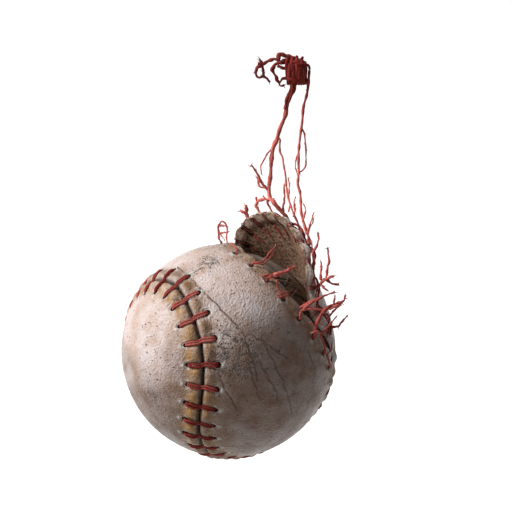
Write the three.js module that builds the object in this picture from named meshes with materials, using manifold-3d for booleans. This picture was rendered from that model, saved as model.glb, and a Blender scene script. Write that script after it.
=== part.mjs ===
// A worn, torn-open stitched ball hanging by its own red lacing.
// Millimetres, +Z up. The origin is the middle of the knot that the ball hangs from.
import * as THREE from 'three';
import { mergeVertices } from 'three/addons/utils/BufferGeometryUtils.js';
import Module from 'manifold-3d';

const wasm = await Module();
wasm.setup();

// Ball and where it hangs
const BALL_R = 36.9;
const BALL_DROP = 99;
const SEAM_FRAME_DEG = [22.25, -20.41, 37.5];
const CLEARANCE = 0.3;

// Leather cover: two panels that meet on one seam curve
const LEATHER_T = 1.3;
const SEAM_SHAPE = 0.4063;
const SEAM_GAP = 0.8;
const HOLE_R = 0.85;
const HOLE_INSET = 5.05;

// Lacing
const STITCHES = 54;
const FIRST_STITCH = 8;
const LAST_STITCH = 45;
const THREAD_R = 0.4;
const STRAND_STEP = 2.5;
const DRIFT = 0.075;
const DRIFT_MIDDLE = 32;
const DRIFT_WIDTH = 4.5;

// Peeled flap: the lobe of the rear panel, uncurled from its fold and cupped at the rim
const FLAP_STRAIGHTEN = 0.27;
const FLAP_FOLD_START = 0.025;
const FLAP_SKEW = 0.067;
const FLAP_RIM_W = 5.5;
const FLAP_RIM_CURL = 0.75;
const FLAP_CURL_FAR = 0.3;
const FLAP_CURL_NEAR = 0.8;
const FLAP_FAR_DROOP = 0.15;
const FLAP_NEAR_FLARE = 0.14;
const FLAP_NEAR_DIP = 0.09;

// Winding that the tear lays bare: one yarn over the wound core
const YARN_R = 0.75;
const YARN_SELF_GAP = 0.56;
const YARN_LOOPS = 12;
const YARN_STEPS = 24;
const YARN_AXIS = [0.842, 0.433, -0.323];

// Layers below it. The first wool fills what is left between the pill and the other wool
const CORK_R = 10;
const INNER_RUBBER_T = 3.1;
const OUTER_RUBBER_T = 2.4;
const GASKET_T = 1.2;
const WHITE_WOOL_T = 2.1;
const LAST_WOOL_T = 1.9;
const YARN_TAIL_R = 1.5;

// From the leather in
const LACE_SLACK = 0.15;
const LACE_RISE = 0.25;
const YARN_SLACK = 0.1;
const SHELL_INNER_R = BALL_R - LEATHER_T;
const MID_R = BALL_R - LEATHER_T / 2;
const LACE_UNDER_R = SHELL_INNER_R - THREAD_R - CLEARANCE - LACE_SLACK;
const LACE_OVER_R = BALL_R + THREAD_R + LACE_RISE;
const YARN_MID_R = LACE_UNDER_R - THREAD_R - CLEARANCE - YARN_SLACK - YARN_R;
const YARN_SAG = YARN_MID_R * (1 - Math.cos(Math.PI / YARN_STEPS));
const LAST_WOOL_R = YARN_MID_R - YARN_R - CLEARANCE - YARN_SAG;
const WHITE_WOOL_R = LAST_WOOL_R - LAST_WOOL_T;
const FIRST_WOOL_R = WHITE_WOOL_R - WHITE_WOOL_T;

const LEATHER = 0xd9cbbd;
const SUEDE = 0x6b5443;
const RED = 0xa8342f;
const GREY_YARN = 0x8b8173;
const WHITE_YARN = 0xd8d2c4;
const BLACK = 0x1c1b1a;
const RED_RUBBER = 0x8e3a32;
const CORK = 0xb28a5e;

function material(color, roughness) {
  return new THREE.MeshStandardMaterial({ color, roughness, metalness: 0 });
}

// Solids

function weld(geometry) {
  const bare = new THREE.BufferGeometry();
  bare.setAttribute('position', geometry.getAttribute('position').clone());
  if (geometry.index) bare.setIndex(geometry.index.clone());
  return mergeVertices(bare, 1e-4);
}

function solid(geometry) {
  const welded = weld(geometry);
  const vertProperties = new Float32Array(welded.getAttribute('position').array);
  const index = welded.index.array;
  const kept = [];
  for (let i = 0; i < index.length; i += 3) {
    const [a, b, c] = [index[i], index[i + 1], index[i + 2]];
    if (a !== b && b !== c && c !== a) kept.push(a, b, c);
  }
  const mesh = new wasm.Mesh({ numProp: 3, vertProperties, triVerts: new Uint32Array(kept) });
  mesh.merge();
  return new wasm.Manifold(mesh);
}

function geometryOf(manifold) {
  const mesh = manifold.getMesh();
  const geometry = new THREE.BufferGeometry();
  geometry.setAttribute('position', new THREE.BufferAttribute(new Float32Array(mesh.vertProperties), 3));
  geometry.setIndex(new THREE.BufferAttribute(new Uint32Array(mesh.triVerts), 1));
  geometry.computeVertexNormals();
  return geometry;
}

function join(geometries) {
  const joined = geometries.map(solid).reduce((sum, next) => sum.add(next));
  return geometryOf(joined);
}

function icosphere(radius, detail) {
  return new THREE.IcosahedronGeometry(radius, detail);
}

// How far a faceted sphere's flattest face lies inside its corners, as a fraction of the radius
function facetFactor(detail) {
  const position = icosphere(1, detail).getAttribute('position');
  let least = 1;
  for (let i = 0; i < position.count; i += 3) {
    const [a, b, c] = [0, 1, 2].map((k) => new THREE.Vector3().fromBufferAttribute(position, i + k));
    const normal = b.clone().sub(a).cross(c.clone().sub(a)).normalize();
    least = Math.min(least, Math.abs(normal.dot(a)));
  }
  return least;
}

function hollowSphere(outerR, outerDetail, aroundR, innerDetail) {
  const innerR = (aroundR + CLEARANCE) / facetFactor(innerDetail);
  return solid(icosphere(outerR, outerDetail)).subtract(solid(icosphere(innerR, innerDetail)));
}

// A bar along a direction from the middle of the ball, between two radii
function radialBar(direction, from, to, radius, sides) {
  const bar = new THREE.CylinderGeometry(radius, radius, to - from, sides);
  const turn = new THREE.Quaternion().setFromUnitVectors(new THREE.Vector3(0, 1, 0), direction);
  bar.applyQuaternion(turn);
  bar.translate(...direction.clone().multiplyScalar((from + to) / 2).toArray());
  return bar;
}

// Path that goes straight from point to point, so that a tube has a section at each of them
class PointPath extends THREE.Curve {
  constructor(points) {
    super();
    this.points = points;
  }

  getPoint(t, target = new THREE.Vector3()) {
    const last = this.points.length - 1;
    const place = THREE.MathUtils.clamp(t, 0, 1) * last;
    const i = Math.min(Math.floor(place), last - 1);
    return target.lerpVectors(this.points[i], this.points[i + 1], place - i);
  }

  getUtoTmapping(u) {
    return u;
  }
}

function tube(points, radius, sides = 6) {
  const section = new THREE.Shape();
  for (let i = 0; i < sides; i += 1) {
    const angle = (2 * Math.PI * i) / sides;
    const corner = [radius * Math.cos(angle), radius * Math.sin(angle)];
    if (i === 0) section.moveTo(...corner);
    else section.lineTo(...corner);
  }
  section.closePath();
  return new THREE.ExtrudeGeometry(section, {
    steps: points.length - 1,
    bevelEnabled: false,
    extrudePath: new PointPath(points),
  });
}

function vectors(list) {
  return list.map((entry) => (Array.isArray(entry) ? new THREE.Vector3(...entry) : entry));
}

function smooth(x) {
  const t = THREE.MathUtils.clamp(x, 0, 1);
  return t * t * (3 - 2 * t);
}

// Seam curve on the ball

function seamDirection(turn) {
  const theta = Math.PI / 2 - (Math.PI / 2 - SEAM_SHAPE) * Math.cos(turn);
  const phi = turn / 2 + SEAM_SHAPE * Math.sin(2 * turn);
  const ring = Math.sin(theta);
  return new THREE.Vector3(ring * Math.cos(phi), ring * Math.sin(phi), Math.cos(theta));
}

const SEAM_TURN = 4 * Math.PI;
const TABLE_STEPS = 4000;
const seamLengths = [0];
for (let i = 1; i <= TABLE_STEPS; i += 1) {
  const before = seamDirection((SEAM_TURN * (i - 1)) / TABLE_STEPS);
  const here = seamDirection((SEAM_TURN * i) / TABLE_STEPS);
  seamLengths.push(seamLengths[i - 1] + here.distanceTo(before));
}
const SEAM_LENGTH = seamLengths[TABLE_STEPS];

function seamAt(arc) {
  const wrapped = THREE.MathUtils.euclideanModulo(arc, SEAM_LENGTH);
  let low = 0;
  let high = TABLE_STEPS;
  while (high - low > 1) {
    const middle = (low + high) >> 1;
    if (seamLengths[middle] > wrapped) high = middle;
    else low = middle;
  }
  const part = (wrapped - seamLengths[low]) / (seamLengths[high] - seamLengths[low]);
  return seamDirection((SEAM_TURN * (low + part)) / TABLE_STEPS);
}

// Sideways direction at the seam, towards the rear panel
function seamSide(arc) {
  const along = seamAt(arc + 0.002).sub(seamAt(arc - 0.002)).normalize();
  return along.cross(seamAt(arc)).normalize();
}

// Direction at an arc offset from the seam: positive on the rear panel, negative on the front one
function besideSeam(arc, offset) {
  const side = seamSide(arc).multiplyScalar(Math.sin(offset));
  return seamAt(arc).multiplyScalar(Math.cos(offset)).add(side).normalize();
}

// Arc position of a stitch: evenly spaced, with the slight drift of hand lacing
function stitchArc(k) {
  const drift = DRIFT * Math.exp(-(((k - DRIFT_MIDDLE) / DRIFT_WIDTH) ** 2));
  return (k * SEAM_LENGTH) / STITCHES + drift;
}

const HOLE_OFFSET = HOLE_INSET / BALL_R;
const FRONT = -1;
const REAR = 1;

function holeDirection(k, side) {
  return besideSeam(stitchArc(k), side * HOLE_OFFSET);
}

const seamFrame = new THREE.Euler(...SEAM_FRAME_DEG.map(THREE.MathUtils.degToRad), 'XYZ');

function toPart(point) {
  return point.clone().applyEuler(seamFrame).add(new THREE.Vector3(0, 0, -BALL_DROP));
}

// Leather panels

function seamBlade() {
  const count = 96;
  const half = SEAM_GAP / 2 / BALL_R;
  const inner = SHELL_INNER_R - 2;
  const outer = BALL_R + 2;
  const ring = [];
  for (let i = 0; i < count; i += 1) {
    const arc = (i * SEAM_LENGTH) / count;
    const left = besideSeam(arc, -half);
    const right = besideSeam(arc, half);
    ring.push(
      left.clone().multiplyScalar(inner),
      right.clone().multiplyScalar(inner),
      right.clone().multiplyScalar(outer),
      left.clone().multiplyScalar(outer),
    );
  }
  const index = [];
  for (let i = 0; i < count; i += 1) {
    const next = (i + 1) % count;
    for (let k = 0; k < 4; k += 1) {
      const [a, b] = [4 * i + k, 4 * i + ((k + 1) % 4)];
      const [c, d] = [4 * next + k, 4 * next + ((k + 1) % 4)];
      index.push(a, c, b, b, c, d);
    }
  }
  const geometry = new THREE.BufferGeometry().setFromPoints(ring);
  geometry.setIndex(index);
  return geometry;
}

function holes(list, side) {
  const bars = list.map((k) => radialBar(holeDirection(k, side), SHELL_INNER_R - 2, BALL_R + 2, HOLE_R, 4));
  return bars.map(solid).reduce((sum, next) => sum.add(next));
}

function range(from, to) {
  return Array.from({ length: to - from + 1 }, (_, i) => from + i);
}

function panels() {
  const shell = solid(icosphere(BALL_R, 5)).subtract(solid(icosphere(SHELL_INNER_R, 4)));
  const pieces = shell.subtract(solid(seamBlade())).decompose();
  const reach = (piece) => piece.boundingBox().max[2];
  pieces.sort((a, b) => b.volume() - a.volume());
  const [front, rear] = pieces.slice(0, 2).sort((a, b) => reach(b) - reach(a));
  const lobe = new THREE.BoxGeometry(60, 120, 60);
  lobe.translate(30, 0, 30 - CLEARANCE / 2);
  const body = rear.subtract(solid(lobe));
  return {
    front: geometryOf(front.subtract(holes(range(0, STITCHES - 1), FRONT))),
    rear: geometryOf(body.subtract(holes(range(FIRST_STITCH, LAST_STITCH), REAR))),
  };
}

// Peeled flap, in the ball's frame

function latitude(direction) {
  return Math.atan2(direction.z, direction.x);
}

// Place on the closed lobe whose rim is cupped inwards, at a height above the middle of the leather
function cupped(arc, inset, height) {
  const edge = SEAM_GAP / 2 / BALL_R;
  const width = FLAP_RIM_W / BALL_R;
  const base = besideSeam(arc, edge + width);
  const near = smooth((1 - (arc * STITCHES) / SEAM_LENGTH) / 4);
  const side = FLAP_CURL_FAR + (FLAP_CURL_NEAR - FLAP_CURL_FAR) * near;
  const curl = FLAP_RIM_CURL * side * smooth((latitude(base) - 0.08) / 0.35);
  const beyond = Math.max(0, edge + width - inset) * BALL_R;
  if (beyond === 0 || curl < 1e-3) {
    return besideSeam(arc, inset).multiplyScalar(MID_R + height);
  }
  const bendR = FLAP_RIM_W / curl;
  const angle = beyond / bendR;
  const outward = besideSeam(arc, edge + width - 0.01).sub(base).normalize();
  const rise = MID_R - bendR + (bendR + height) * Math.cos(angle);
  return base.clone().multiplyScalar(rise).addScaledVector(outward, (bendR + height) * Math.sin(angle));
}

// How far the sides of the peeled lobe have moved out of the ball's own curve
function relaxed(turn, y) {
  const far = -FLAP_FAR_DROOP * Math.max(y, 0) * smooth((turn - 0.1) / 0.65);
  const flare = FLAP_NEAR_FLARE * smooth((turn - 0.72) / 0.25);
  const dip = FLAP_NEAR_DIP * Math.exp(-(((turn - 0.5) / 0.18) ** 2));
  return far + Math.max(-y, 0) * (flare - dip);
}

// Bend of the lobe away from the ball, about the fold at its root
function peeled(point) {
  const turn = Math.atan2(point.z, point.x) - FLAP_FOLD_START;
  if (turn <= 0) return point.clone();
  const rest = Math.hypot(point.x, point.z) - BALL_R + relaxed(turn, point.y);
  const angle = turn * FLAP_STRAIGHTEN;
  const bendR = BALL_R / FLAP_STRAIGHTEN;
  const out = BALL_R + rest * Math.cos(angle) + bendR * (Math.cos(angle) - 1);
  const up = rest * Math.sin(angle) + bendR * Math.sin(angle);
  const [c, s] = [Math.cos(FLAP_FOLD_START), Math.sin(FLAP_FOLD_START)];
  const y = point.y + FLAP_SKEW * turn * turn * BALL_R;
  return new THREE.Vector3(c * out - s * up, y, s * out + c * up);
}

function flapHole(k, height) {
  return toPart(peeled(cupped(stitchArc(k), HOLE_OFFSET, height)));
}

function flap() {
  const half = 1.56;
  const columns = 36;
  const rimRows = 4;
  const innerRows = 3;
  const rows = rimRows + innerRows;
  const edge = SEAM_GAP / 2 / BALL_R;
  const width = FLAP_RIM_W / BALL_R;
  const tipLatitude = Math.PI / 2 - SEAM_SHAPE;
  const grid = (height) => range(0, columns).map((i) => {
    const arc = -half + (2 * half * i) / columns;
    const rim = besideSeam(arc, edge + width);
    const spineLatitude = Math.min(latitude(seamAt(arc)), tipLatitude * 0.66);
    const spine = new THREE.Vector3(Math.cos(spineLatitude), 0, Math.sin(spineLatitude));
    return range(0, rows).map((j) => {
      if (j <= rimRows) return cupped(arc, edge + (width * j) / rimRows, height);
      const part = (j - rimRows) / innerRows;
      return rim.clone().lerp(spine, part).normalize().multiplyScalar(MID_R + height);
    });
  });
  const outer = grid(LEATHER_T / 2);
  const inner = grid(-LEATHER_T / 2);
  const corners = [];
  const quad = (a, b, c, d) => corners.push(a, b, c, a, c, d);
  for (let i = 0; i < columns; i += 1) {
    for (let j = 0; j < rows; j += 1) {
      quad(outer[i][j], outer[i][j + 1], outer[i + 1][j + 1], outer[i + 1][j]);
      quad(inner[i][j], inner[i + 1][j], inner[i + 1][j + 1], inner[i][j + 1]);
    }
    quad(outer[i][0], outer[i + 1][0], inner[i + 1][0], inner[i][0]);
  }
  for (let j = 0; j < rows; j += 1) {
    quad(outer[0][j], inner[0][j], inner[0][j + 1], outer[0][j + 1]);
    quad(outer[columns][j], outer[columns][j + 1], inner[columns][j + 1], inner[columns][j]);
  }
  let body = solid(new THREE.BufferGeometry().setFromPoints(corners));
  const below = new THREE.BoxGeometry(120, 120, 60);
  below.translate(0, 0, -30 + CLEARANCE / 2);
  body = body.subtract(solid(below));
  for (const k of range(-6, 6)) {
    const out = cupped(stitchArc(k), HOLE_OFFSET, 3);
    const into = cupped(stitchArc(k), HOLE_OFFSET, -3);
    const bar = new THREE.CylinderGeometry(HOLE_R, HOLE_R, 6, 4);
    const axis = out.clone().sub(into).normalize();
    bar.applyQuaternion(new THREE.Quaternion().setFromUnitVectors(new THREE.Vector3(0, 1, 0), axis));
    bar.translate(...out.add(into).multiplyScalar(0.5).toArray());
    body = body.subtract(solid(bar));
  }
  const geometry = geometryOf(body);
  const position = geometry.getAttribute('position');
  for (let i = 0; i < position.count; i += 1) {
    const moved = peeled(new THREE.Vector3().fromBufferAttribute(position, i));
    position.setXYZ(i, moved.x, moved.y, moved.z);
  }
  geometry.computeVertexNormals();
  return geometry;
}

// Lacing that still holds: over the seam, down a hole, along below the leather, up the next

function lacing() {
  const points = [];
  for (const k of range(FIRST_STITCH, LAST_STITCH)) {
    const first = k % 2 === 0 ? FRONT : REAR;
    const start = holeDirection(k, first);
    const end = holeDirection(k, -first);
    points.push(
      start.clone().multiplyScalar(LACE_UNDER_R),
      start.clone().multiplyScalar(LACE_OVER_R),
      seamAt(stitchArc(k)).multiplyScalar(LACE_OVER_R),
      end.clone().multiplyScalar(LACE_OVER_R),
      end.clone().multiplyScalar(LACE_UNDER_R),
    );
  }
  return tube(points, THREAD_R, 5);
}

// Outer yarn: one helix round the wound core, crossing the tear

function outerYarn() {
  const axis = new THREE.Vector3(...YARN_AXIS).normalize();
  const across = new THREE.Vector3(0, 0, 1).cross(axis).normalize();
  const third = axis.clone().cross(across);
  const climb = (2 * YARN_R + YARN_SELF_GAP) / YARN_MID_R;
  const steps = YARN_LOOPS * YARN_STEPS;
  const points = range(0, steps).map((i) => {
    const turn = (2 * Math.PI * i) / YARN_STEPS;
    const tilt = climb * (i / YARN_STEPS - YARN_LOOPS / 2);
    return new THREE.Vector3()
      .addScaledVector(across, Math.cos(tilt) * Math.cos(turn))
      .addScaledVector(third, Math.cos(tilt) * Math.sin(turn))
      .addScaledVector(axis, Math.sin(tilt))
      .multiplyScalar(YARN_MID_R);
  });
  const straight = (from, to) => to.clone().addScaledVector(to.clone().sub(from).normalize(), 2 * YARN_R);
  points.unshift(straight(points[1], points[0]));
  points.push(straight(points[points.length - 2], points[points.length - 1]));
  let least = Infinity;
  for (let i = 0; i < points.length; i += 1) {
    for (let j = i + YARN_STEPS / 2; j < points.length - 1; j += 1) {
      const line = new THREE.Line3(points[j], points[j + 1]);
      const near = line.closestPointToPoint(points[i], true, new THREE.Vector3());
      least = Math.min(least, near.distanceTo(points[i]));
    }
  }
  console.log(`outer yarn: least gap to itself ${(least - 2 * YARN_R).toFixed(2)} mm`);
  return tube(points, YARN_R, 5);
}

// Pill and wound layers

function halfShell(innerR, outerR, lift) {
  const steps = 4;
  const profile = [];
  for (let i = 0; i <= steps; i += 1) {
    const angle = (Math.PI / 2) * (1 - i / steps);
    profile.push([outerR * Math.cos(angle), lift + (outerR - lift) * Math.sin(angle)]);
  }
  for (let i = steps; i >= 0; i -= 1) {
    const angle = (Math.PI / 2) * (1 - i / steps);
    profile.push([innerR * Math.cos(angle), lift + (innerR - lift) * Math.sin(angle)]);
  }
  const points = profile.map(([x, y]) => new THREE.Vector2(x < 1e-6 ? 0 : x, y));
  return new THREE.LatheGeometry(points.reverse(), 12);
}

function ring(innerR, outerR, height) {
  const points = [
    [innerR, -height / 2],
    [outerR, -height / 2],
    [outerR, height / 2],
    [innerR, height / 2],
    [innerR, -height / 2],
  ];
  return new THREE.LatheGeometry(points.map(([x, y]) => new THREE.Vector2(x, y)), 12);
}

// Round shells with few sides reach in by this much between their corners
const COARSE = Math.cos(Math.PI / 12) * Math.cos(Math.PI / 16);
const INNER_RUBBER_IN = (CORK_R + CLEARANCE) / COARSE;
const INNER_RUBBER_OUT = INNER_RUBBER_IN + INNER_RUBBER_T;
const OUTER_RUBBER_IN = (INNER_RUBBER_OUT + CLEARANCE) / COARSE;
const OUTER_RUBBER_R = OUTER_RUBBER_IN + OUTER_RUBBER_T;

function woundLayer(outerR, outerDetail, aroundR, innerDetail, tail) {
  const direction = new THREE.Vector3(...tail).normalize();
  const opening = solid(radialBar(direction, aroundR - 1, outerR + 1, YARN_TAIL_R, 6));
  return geometryOf(hollowSphere(outerR, outerDetail, aroundR, innerDetail).subtract(opening));
}

// Assembly

const object = new THREE.Group();
const ball = new THREE.Group();
ball.position.z = -BALL_DROP;
ball.rotation.copy(seamFrame);
object.add(ball);

function add(parent, name, geometry, look) {
  const mesh = new THREE.Mesh(geometry, look);
  mesh.name = name;
  parent.add(mesh);
  return mesh;
}

const leather = material(LEATHER, 0.6);
const red = material(RED, 0.75);
const cover = panels();
add(ball, 'cover_panel_front', cover.front, leather);
add(ball, 'cover_panel_rear', cover.rear, leather);
add(ball, 'cover_flap', flap(), material(SUEDE, 0.9));
add(ball, 'lacing', lacing(), red);
add(ball, 'outer_yarn', outerYarn(), material(GREY_YARN, 0.95));
const greyWool = material(GREY_YARN, 0.95);
const whiteWool = material(WHITE_YARN, 0.95);
add(ball, 'winding_grey_last', woundLayer(LAST_WOOL_R, 4, WHITE_WOOL_R, 3, [0, 1, 0.4]), greyWool);
add(ball, 'winding_white', woundLayer(WHITE_WOOL_R, 3, FIRST_WOOL_R, 3, [0.3, -1, 0]), whiteWool);
add(ball, 'winding_grey_first', woundLayer(FIRST_WOOL_R, 3, OUTER_RUBBER_R, 2, [-1, 0, 0.3]), greyWool);
add(ball, 'cork_core', icosphere(CORK_R, 2), material(CORK, 0.9));

const black = material(BLACK, 0.7);
const redRubber = material(RED_RUBBER, 0.7);
for (const [name, side] of [['upper', 1], ['lower', -1]]) {
  const inner = halfShell(INNER_RUBBER_IN, INNER_RUBBER_OUT, GASKET_T / 2 + CLEARANCE);
  const outer = halfShell(OUTER_RUBBER_IN, OUTER_RUBBER_R, CLEARANCE / 2);
  const innerMesh = add(ball, `rubber_inner_${name}`, inner, black);
  const outerMesh = add(ball, `rubber_outer_${name}`, outer, redRubber);
  innerMesh.rotation.x = side > 0 ? Math.PI / 2 : -Math.PI / 2;
  outerMesh.rotation.z = side > 0 ? 0 : Math.PI;
}
const gasketRing = ring(INNER_RUBBER_IN, INNER_RUBBER_OUT - CLEARANCE, GASKET_T);
const gasket = add(ball, 'rubber_gasket', gasketRing, redRubber);
gasket.rotation.x = Math.PI / 2;

// Loose ends of the torn lacing. A thread that starts at a hole runs up through it.
function frontHole(k) {
  const direction = holeDirection(k, FRONT);
  return [BALL_R - 0.7, BALL_R + 0.9].map((radius) => toPart(direction.clone().multiplyScalar(radius)));
}

function rimHole(k, reach = 1.2) {
  return [flapHole(k, -0.3), flapHole(k, LEATHER_T / 2 + reach)];
}

// A path typed as steps from the outer end of a hole, and one that starts up through the hole
function branch(hole, ...steps) {
  return steps.map((step) => hole[1].clone().add(new THREE.Vector3(...step)));
}

function fromHole(hole, ...steps) {
  return [...hole, ...branch(hole, ...steps)];
}

function thread(name, radius, ...paths) {
  const bodies = paths.map((path) => tube(vectors(path), radius, 5));
  add(object, name, bodies.length > 1 ? join(bodies) : bodies[0], red);
}

// On the ball, from the front panel's empty holes
thread('thread_ladder', 0.35,
  fromHole(frontHole(2), [-0.9, -1.6, 0.9], [-1.7, -2.2, 3.2], [-2.2, -2.6, 5.6], [-1.2, -3.2, 7.4],
    [0.3, -3.8, 6.8], [1, -4.4, 5.4], [1.6, -5.8, 2.4]),
  branch(frontHole(2), [-1.2, -2.4, 2.9], [0.1, -3.4, 3.6], [1.8, -4.8, 4.6]));
thread('thread_top_short', 0.3, fromHole(frontHole(0), [-1.6, 3.7, 1.1], [-2.8, 5.7, 0.9]));
thread('thread_arc', 0.35,
  fromHole(frontHole(-1), [2.4, -0.4, 1.1], [3.8, 1.4, 2.3], [4.7, 3.2, 3.8], [6.4, 6.6, 5.9]));
thread('thread_cross_thick', 0.5,
  fromHole(frontHole(-2), [3.3, 0.5, 2.3], [5.7, 2.3, 3.7], [7.9, 4.1, 5.3]));
thread('thread_cross_thin', 0.3, fromHole(frontHole(-3), [-1.5, 0.2, 1.4], [-3.7, 1, 4]));
thread('thread_long_upper', 0.4,
  fromHole(frontHole(-4), [1.3, 0.1, 4.7], [3.7, 1.1, 7.1], [5.5, 2.1, 8.3], [8.9, 4.1, 10.3]));
thread('thread_long_lower', 0.5,
  fromHole(frontHole(-5), [-0.3, -2, 7.4], [1.3, -0.8, 10.4], [3.9, 0.6, 12.4], [6, 1.6, 13.6],
    [6.6, 2.2, 15.8]));
thread('thread_low', 0.35,
  fromHole(frontHole(-6), [-1.7, -2.8, 3.9], [-3.5, -4.8, 6.9], [-1.5, -3.4, 8.9]));
thread('thread_zigzag', 0.35,
  fromHole(frontHole(-7), [-1.5, -5.1, 2.9], [-2.7, -6.1, 5.1], [-1.7, -4.7, 7.5]));

// On the peeled flap, from its rim holes
thread('tuft_top_left', 0.4, fromHole(rimHole(3), [-6.1, -0.3, 3.6], [-6.7, -1.1, 5.6]));
thread('tuft_top_middle', 0.35, fromHole(rimHole(2), [-5.3, 0.4, 4], [-6.1, -0.2, 6.2]));
thread('tuft_top_right', 0.3, fromHole(rimHole(1), [-4.6, 0.8, 4.4], [-3, -1.2, 5.8]));
thread('tuft_side_upper', 0.4,
  fromHole(rimHole(-3), [-0.7, -2.3, 6.1], [-0.5, -1.5, 9.1], [-1.3, -0.9, 11.3]));
thread('tuft_side_middle', 0.4,
  fromHole(rimHole(-4), [1.2, -2.8, 3.1], [3.7, -3.2, 2.1], [6.1, -3, 2.3]),
  branch(rimHole(-4), [1.4, -2.9, 2.9], [1.2, -2.4, 6.3], [0.8, -1.4, 9.5], [-0.4, -0.6, 13.3]));
thread('tuft_side_lower', 0.4, fromHole(rimHole(-5), [2.9, -3.3, 1.6], [4.9, -3.9, 3.8]));
thread('tuft_root', 0.4, fromHole(rimHole(-6), [2.4, -3.1, 3], [3.6, -4.5, 6]));

// Strands that carry the ball, from the neck of the knot to the flap's rim
function strand(name, radius, main, ...branches) {
  const curve = new THREE.CatmullRomCurve3(vectors(main));
  const steps = Math.round(curve.getLength() / (STRAND_STEP * 2 * radius));
  const bodies = [tube(curve.getSpacedPoints(steps), radius, 8)];
  for (const branch of branches) bodies.push(tube(vectors(branch), radius, 5));
  add(object, name, bodies.length > 1 ? join(bodies) : bodies[0], red);
}

strand('strand_left', 0.55,
  [[-0.3, 0, -12.1], [0.1, 0, -15.2], [-0.6, 0.3, -19.9], [-0.8, 0.5, -23.8], [-1.3, 0.6, -26.7],
    [-0.9, 0.8, -31.2], [0, 0.9, -36.3], [0.5, 1, -40.8], [1.6, 0.4, -43.6], [4.2, -1, -45.6],
    ...rimHole(0, 1.4).reverse()],
  [[0.4, 1, -41], [-2.2, 0.5, -39.7], [-4.6, 0, -36.6], [-7.1, -1, -34]],
  [[-1.3, 0.6, -27.4], [-2.8, 0.2, -29.1], [-3.4, 0, -31.7], [-3.9, -0.3, -33.9], [-3, -0.5, -36.3]]);
strand('strand_inner', 0.35,
  [[0.5, 0, -24.8], [1.2, -0.2, -27.4], [2.5, -0.6, -29.1], [3.4, -1, -31.3], [4.8, -1.5, -34.4],
    [6.1, -2.2, -38.2], [7.6, -3.2, -41.7], [10.4, -4.6, -46], ...rimHole(-1, 1.4).reverse()]);
strand('strand_right', 0.4,
  [[5.5, -1.2, -12.1], [6.1, -1.5, -15.3], [6.6, -2.2, -20.2], [7.2, -3, -24.8], [8.1, -3.7, -29],
    [9, -4.2, -32.2], [9.6, -5, -36], [11.1, -5.5, -38.8], [12.2, -6.2, -42.3], [13.2, -6.8, -45.5],
    [16, -7.6, -50.4], ...rimHole(-2, 1.4).reverse()],
  [[6.3, -1.8, -17.6], [7.5, -2, -19], [9.2, -2.6, -23], [10.2, -3.4, -27.2], [10.7, -3.8, -30.1],
    [9.1, -4.2, -32.2]]);

// Neck, knot and the tangle beside it
strand('strand_right_top', 0.4, [[4.4, 0.5, 1.8], [5.3, 0.4, -3.9], [5.5, 0.3, -6.9], [5.4, 0.2, -10.9]]);
thread('knot_neck', 0.9, [[0.3, 0, -4.9], [0.4, 0, -6.6], [0.1, 0, -8.4], [-0.2, 0, -10], [-0.3, 0, -11]]);
thread('knot_bundle', 0.62,
  [[-1.8, 0, -3.4], [-2, 0.3, 0], [-1.7, 0.2, 3], [-0.8, 0, 5.2]],
  [[0.6, 0, -4], [0.8, 0.3, -1], [0.6, 0.2, 2.6], [-0.2, 0, 5]],
  [[-0.6, 0.8, -4], [-0.6, 1, 0], [-0.5, 0.8, 4.4]],
  [[-0.6, -0.8, -4], [-0.6, -1, 0], [-0.5, -0.8, 4.4]],
  [[-2.4, 0, 2.7], [0, -0.2, 2.9], [1.8, 0, 3], [4.2, 0.3, 3.2]],
  [[1.2, 0, 3.1], [1.3, 0, 5.6]]);
thread('tangle_upper', 0.5,
  [[-2.2, 0, 4.7], [-3.2, 0, 4.8], [-4.4, 0, 4.5], [-6.7, -0.6, 4.7], [-6.6, -1, 3], [-8.4, -1.4, 2.5],
    [-10.2, -1.8, 1.2], [-11.2, -2, 0.2], [-13, -2.4, -0.1]],
  [[-11.2, -2, 0.2], [-12.8, -2.6, 1.7]],
  [[-11.2, -2, 0.2], [-12.5, -2.3, -0.9], [-12.9, -2.5, -2.3], [-12.6, -2.6, -3.7], [-11.3, -2.4, -4.3],
    [-9.9, -2, -3.7], [-7.5, -1.8, -5.1]]);
thread('tangle_middle', 0.5,
  [[-3.1, 0.2, 2.2], [-4.5, 0.4, 2.1], [-6.5, 0.8, 1.5], [-7.8, 1, -0.6], [-7.3, 1.2, -1.9],
    [-6.1, 1, -3.2], [-4.9, 0.8, -4.6], [-3.6, 0.6, -5.7], [-2.6, 0.4, -5.4]],
  [[-6.4, 0.8, 0.6], [-4.4, 0.3, 0.2], [-3.2, 0.1, 0.1]]);

export default object;
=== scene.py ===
"""A worn, torn-open stitched ball that hangs by its own red lacing."""

import math
import random

import bpy
import numpy as np
from mathutils import Matrix, Vector, noise


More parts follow.
